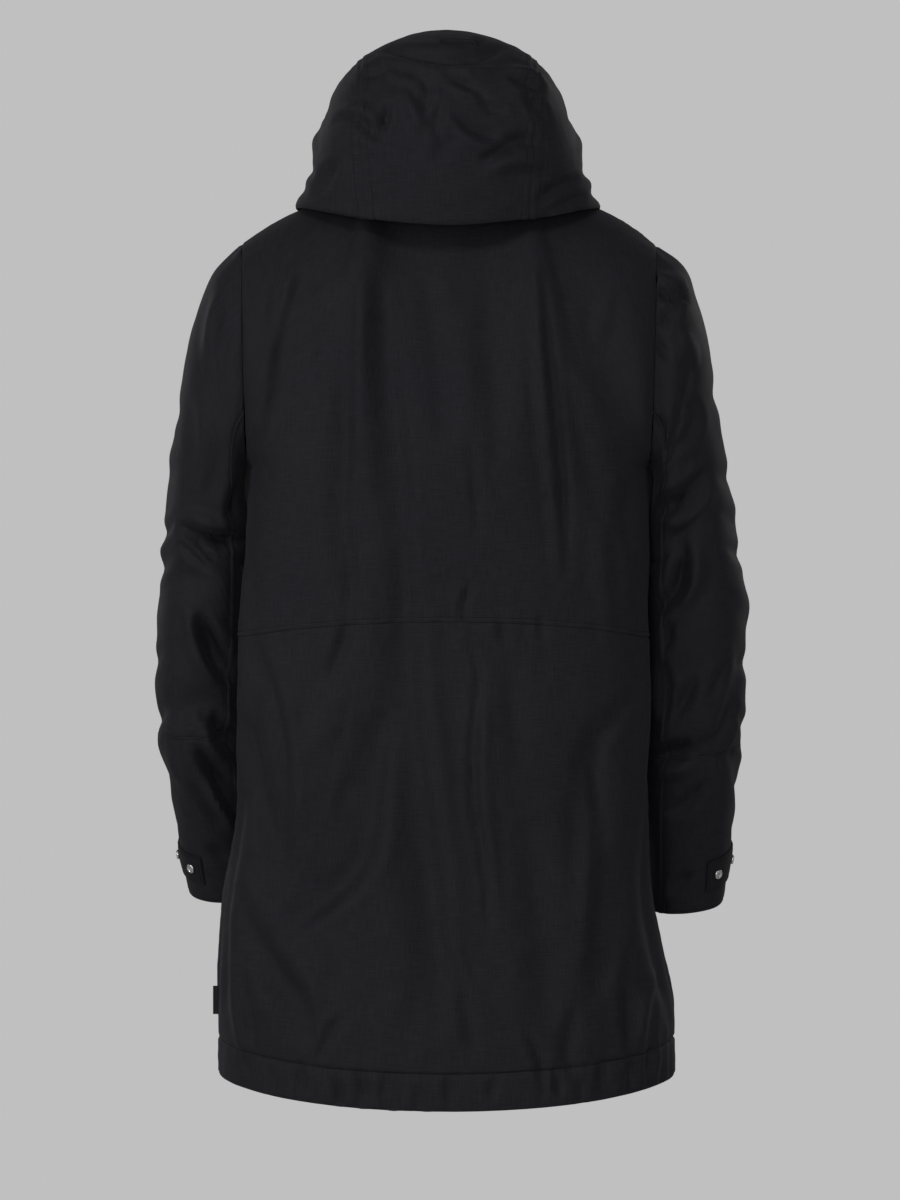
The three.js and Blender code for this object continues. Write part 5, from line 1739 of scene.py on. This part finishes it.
@dataclass
class SideLabel:
    """The bare loop of woven tape in the left side seam, sizes in millimetres."""

    form: BodyForm
    wardrobe: Wardrobe
    height: float = 29.0
    stands: float = 6.0
    thickness: float = 1.6
    rise: float = 0.166
    seam_gap: float = 0.6
    tape: float = 0.45

    def build(self) -> bpy.types.Object:
        """Return the folded tape: a grid bent round its outer edge."""
        bend = (self.thickness - self.tape) / 2.0
        straight = self.stands - self.thickness / 2.0
        length = 2.0 * straight + math.pi * bend
        bm = bmesh.new()
        uv = bm.loops.layers.uv.new("cloth")
        bmesh.ops.create_grid(bm, x_segments=36, y_segments=24, size=0.5)
        for face in bm.faces:
            for loop in face.loops:
                place = loop.vert.co
                loop[uv].uv = ((place.x + 0.5) * length * MM, (place.y + 0.5) * self.height * MM)
        middle = self.form.back(np.array([0.0]), np.array([self.rise]))[0]
        for vert in bm.verts:
            place = (vert.co.x + 0.5) * length - straight
            turn = min(max(place / bend, 0.0), math.pi)
            past = max(place - math.pi * bend, 0.0)
            x = min(place, 0.0) + bend * math.sin(turn) - past
            y = -bend * math.cos(turn)
            wave = 0.25 * math.sin(vert.co.y * 7.0) * (x / straight + 1.0)
            vert.co = Vector(middle) + Vector((self.seam_gap + straight + x, y + wave, vert.co.y * self.height))
        bmesh.ops.scale(bm, verts=bm.verts, vec=Vector((MM, MM, MM)))
        mesh = bpy.data.meshes.new("side_label")
        bm.to_mesh(mesh)
        bm.free()
        mesh.shade_smooth()
        piece = add_object("side_label_tape", mesh, self.wardrobe.tape)
        wall = piece.modifiers.new("wall", "SOLIDIFY")
        wall.thickness = self.tape * MM
        wall.offset = 0.0
        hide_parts("side_label")
        log.info("side_label: %.0f by %.0f mm", length, self.height)
        return piece


def sew(grid: ClothGrid, stitching: Stitching) -> None:
    """Sew every stitch line of a panel."""
    for seam in grid.seams:
        for row in seam.rows:
            stitching.add(*grid.line(seam.edge, row))


@dataclass
class Studio:
    """Floor, lights, backdrop and camera, in metres."""

    camera_place: tuple[float, float, float] = (-0.002, 4.0, -0.386)
    view_height: float = 1.236
    floor_z: float = -1.45
    backdrop: float = 0.527
    ambient: float = 0.13

    def build(self) -> None:
        """Set the studio up."""
        scene = bpy.context.scene
        scene.view_settings.view_transform = "Standard"
        self.build_world(scene)
        self.build_floor()
        self.add_light("left_softbox", (2.8, 1.8, 0.4), (0.7, 1.6), 27.0)
        self.add_light("right_softbox", (-2.6, 2.0, 0.3), (0.9, 1.8), 8.0)
        self.add_light("top_softbox", (0.2, 2.6, 1.7), (1.2, 0.7), 17.0)
        self.add_light("back_fill", (0.5, 3.8, -0.5), (1.2, 1.2), 23.0)
        self.add_light("front_left_softbox", (2.0, -2.2, 0.7), (1.2, 2.0), 7.0)
        self.add_light("front_right_softbox", (-2.0, -2.2, 0.7), (1.2, 2.0), 8.5)
        self.add_camera(scene)

    def build_world(self, scene: bpy.types.Scene) -> None:
        """Light the world softly, and show the camera a plain pale grey."""
        world = bpy.data.worlds.new("studio")
        world.use_nodes = True
        scene.world = world
        tree = world.node_tree
        tree.nodes.clear()
        nodes = Nodes(tree)
        seen = nodes.add("ShaderNodeLightPath").outputs["Is Camera Ray"]
        strength = nodes.add("ShaderNodeMapRange", {"Value": seen})
        strength.inputs["To Min"].default_value = self.ambient
        strength.inputs["To Max"].default_value = self.backdrop
        background = nodes.add("ShaderNodeBackground", {"Color": (1.0, 1.0, 1.0, 1.0), "Strength": strength.outputs[0]})
        output = nodes.add("ShaderNodeOutputWorld")
        tree.links.new(background.outputs[0], output.inputs[0])

    def build_floor(self) -> None:
        """Lay a round pale floor under the parka."""
        bm = bmesh.new()
        bmesh.ops.create_circle(bm, cap_ends=True, segments=96, radius=2.2)
        bmesh.ops.translate(bm, verts=bm.verts, vec=Vector((0.0, 0.0, self.floor_z)))
        mesh = bpy.data.meshes.new("studio_floor")
        bm.to_mesh(mesh)
        bm.free()
        mesh.materials.append(Plain("studio_paper", (0.62, 0.62, 0.62)).build())
        floor = bpy.data.objects.new("studio_floor", mesh)
        bpy.context.scene.collection.objects.link(floor)

    def add_light(self, name: str, place: tuple, size: tuple[float, float], watts: float) -> None:
        """Hang a softbox that faces the middle of the parka."""
        data = bpy.data.lights.new(name, "AREA")
        data.shape = "RECTANGLE"
        data.size, data.size_y = size
        data.energy = watts
        lamp = bpy.data.objects.new(name, data)
        lamp.location = place
        towards = Vector((0.0, 0.0, -0.4)) - Vector(place)
        lamp.rotation_euler = towards.to_track_quat("-Z", "Y").to_euler()
        bpy.context.scene.collection.objects.link(lamp)

    def add_camera(self, scene: bpy.types.Scene) -> None:
        """Place the camera level with the parka's middle, behind its back."""
        data = bpy.data.cameras.new("camera")
        data.lens = data.sensor_width * self.camera_place[1] / self.view_height
        camera = bpy.data.objects.new("camera", data)
        camera.location = self.camera_place
        camera.rotation_euler = (math.radians(90.0), 0.0, math.radians(180.0))
        scene.collection.objects.link(camera)
        scene.camera = camera


def main() -> None:
    """Build the parka on its frame, piece by piece, and the studio round it."""
    logging.basicConfig(level=logging.INFO, format="%(name)s: %(message)s")
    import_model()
    Studio().build()
    wardrobe = Wardrobe()
    neck = Neck()
    stitching = {
        part: Stitching(f"{part}_stitching", wardrobe.thread) for part in ("torso", "sleeve_left", "sleeve_right", "hood")
    }
    body = BodyForm(neck, LEFT_SLEEVE, RIGHT_SLEEVE)
    Torso(body, wardrobe, stitching["torso"]).build()
    Sleeve("left", LEFT_SLEEVE, LEFT_SLEEVE_CREASES, wardrobe, stitching["sleeve_left"]).build()
    Sleeve("right", RIGHT_SLEEVE, RIGHT_SLEEVE_CREASES, wardrobe, stitching["sleeve_right"]).build()
    Hood(HoodForm(neck), wardrobe, stitching["hood"]).build()
    SideLabel(body, wardrobe).build()
    for rows in stitching.values():
        rows.build()
    bpy.context.view_layer.update()


if __name__ == "__main__":
    main()
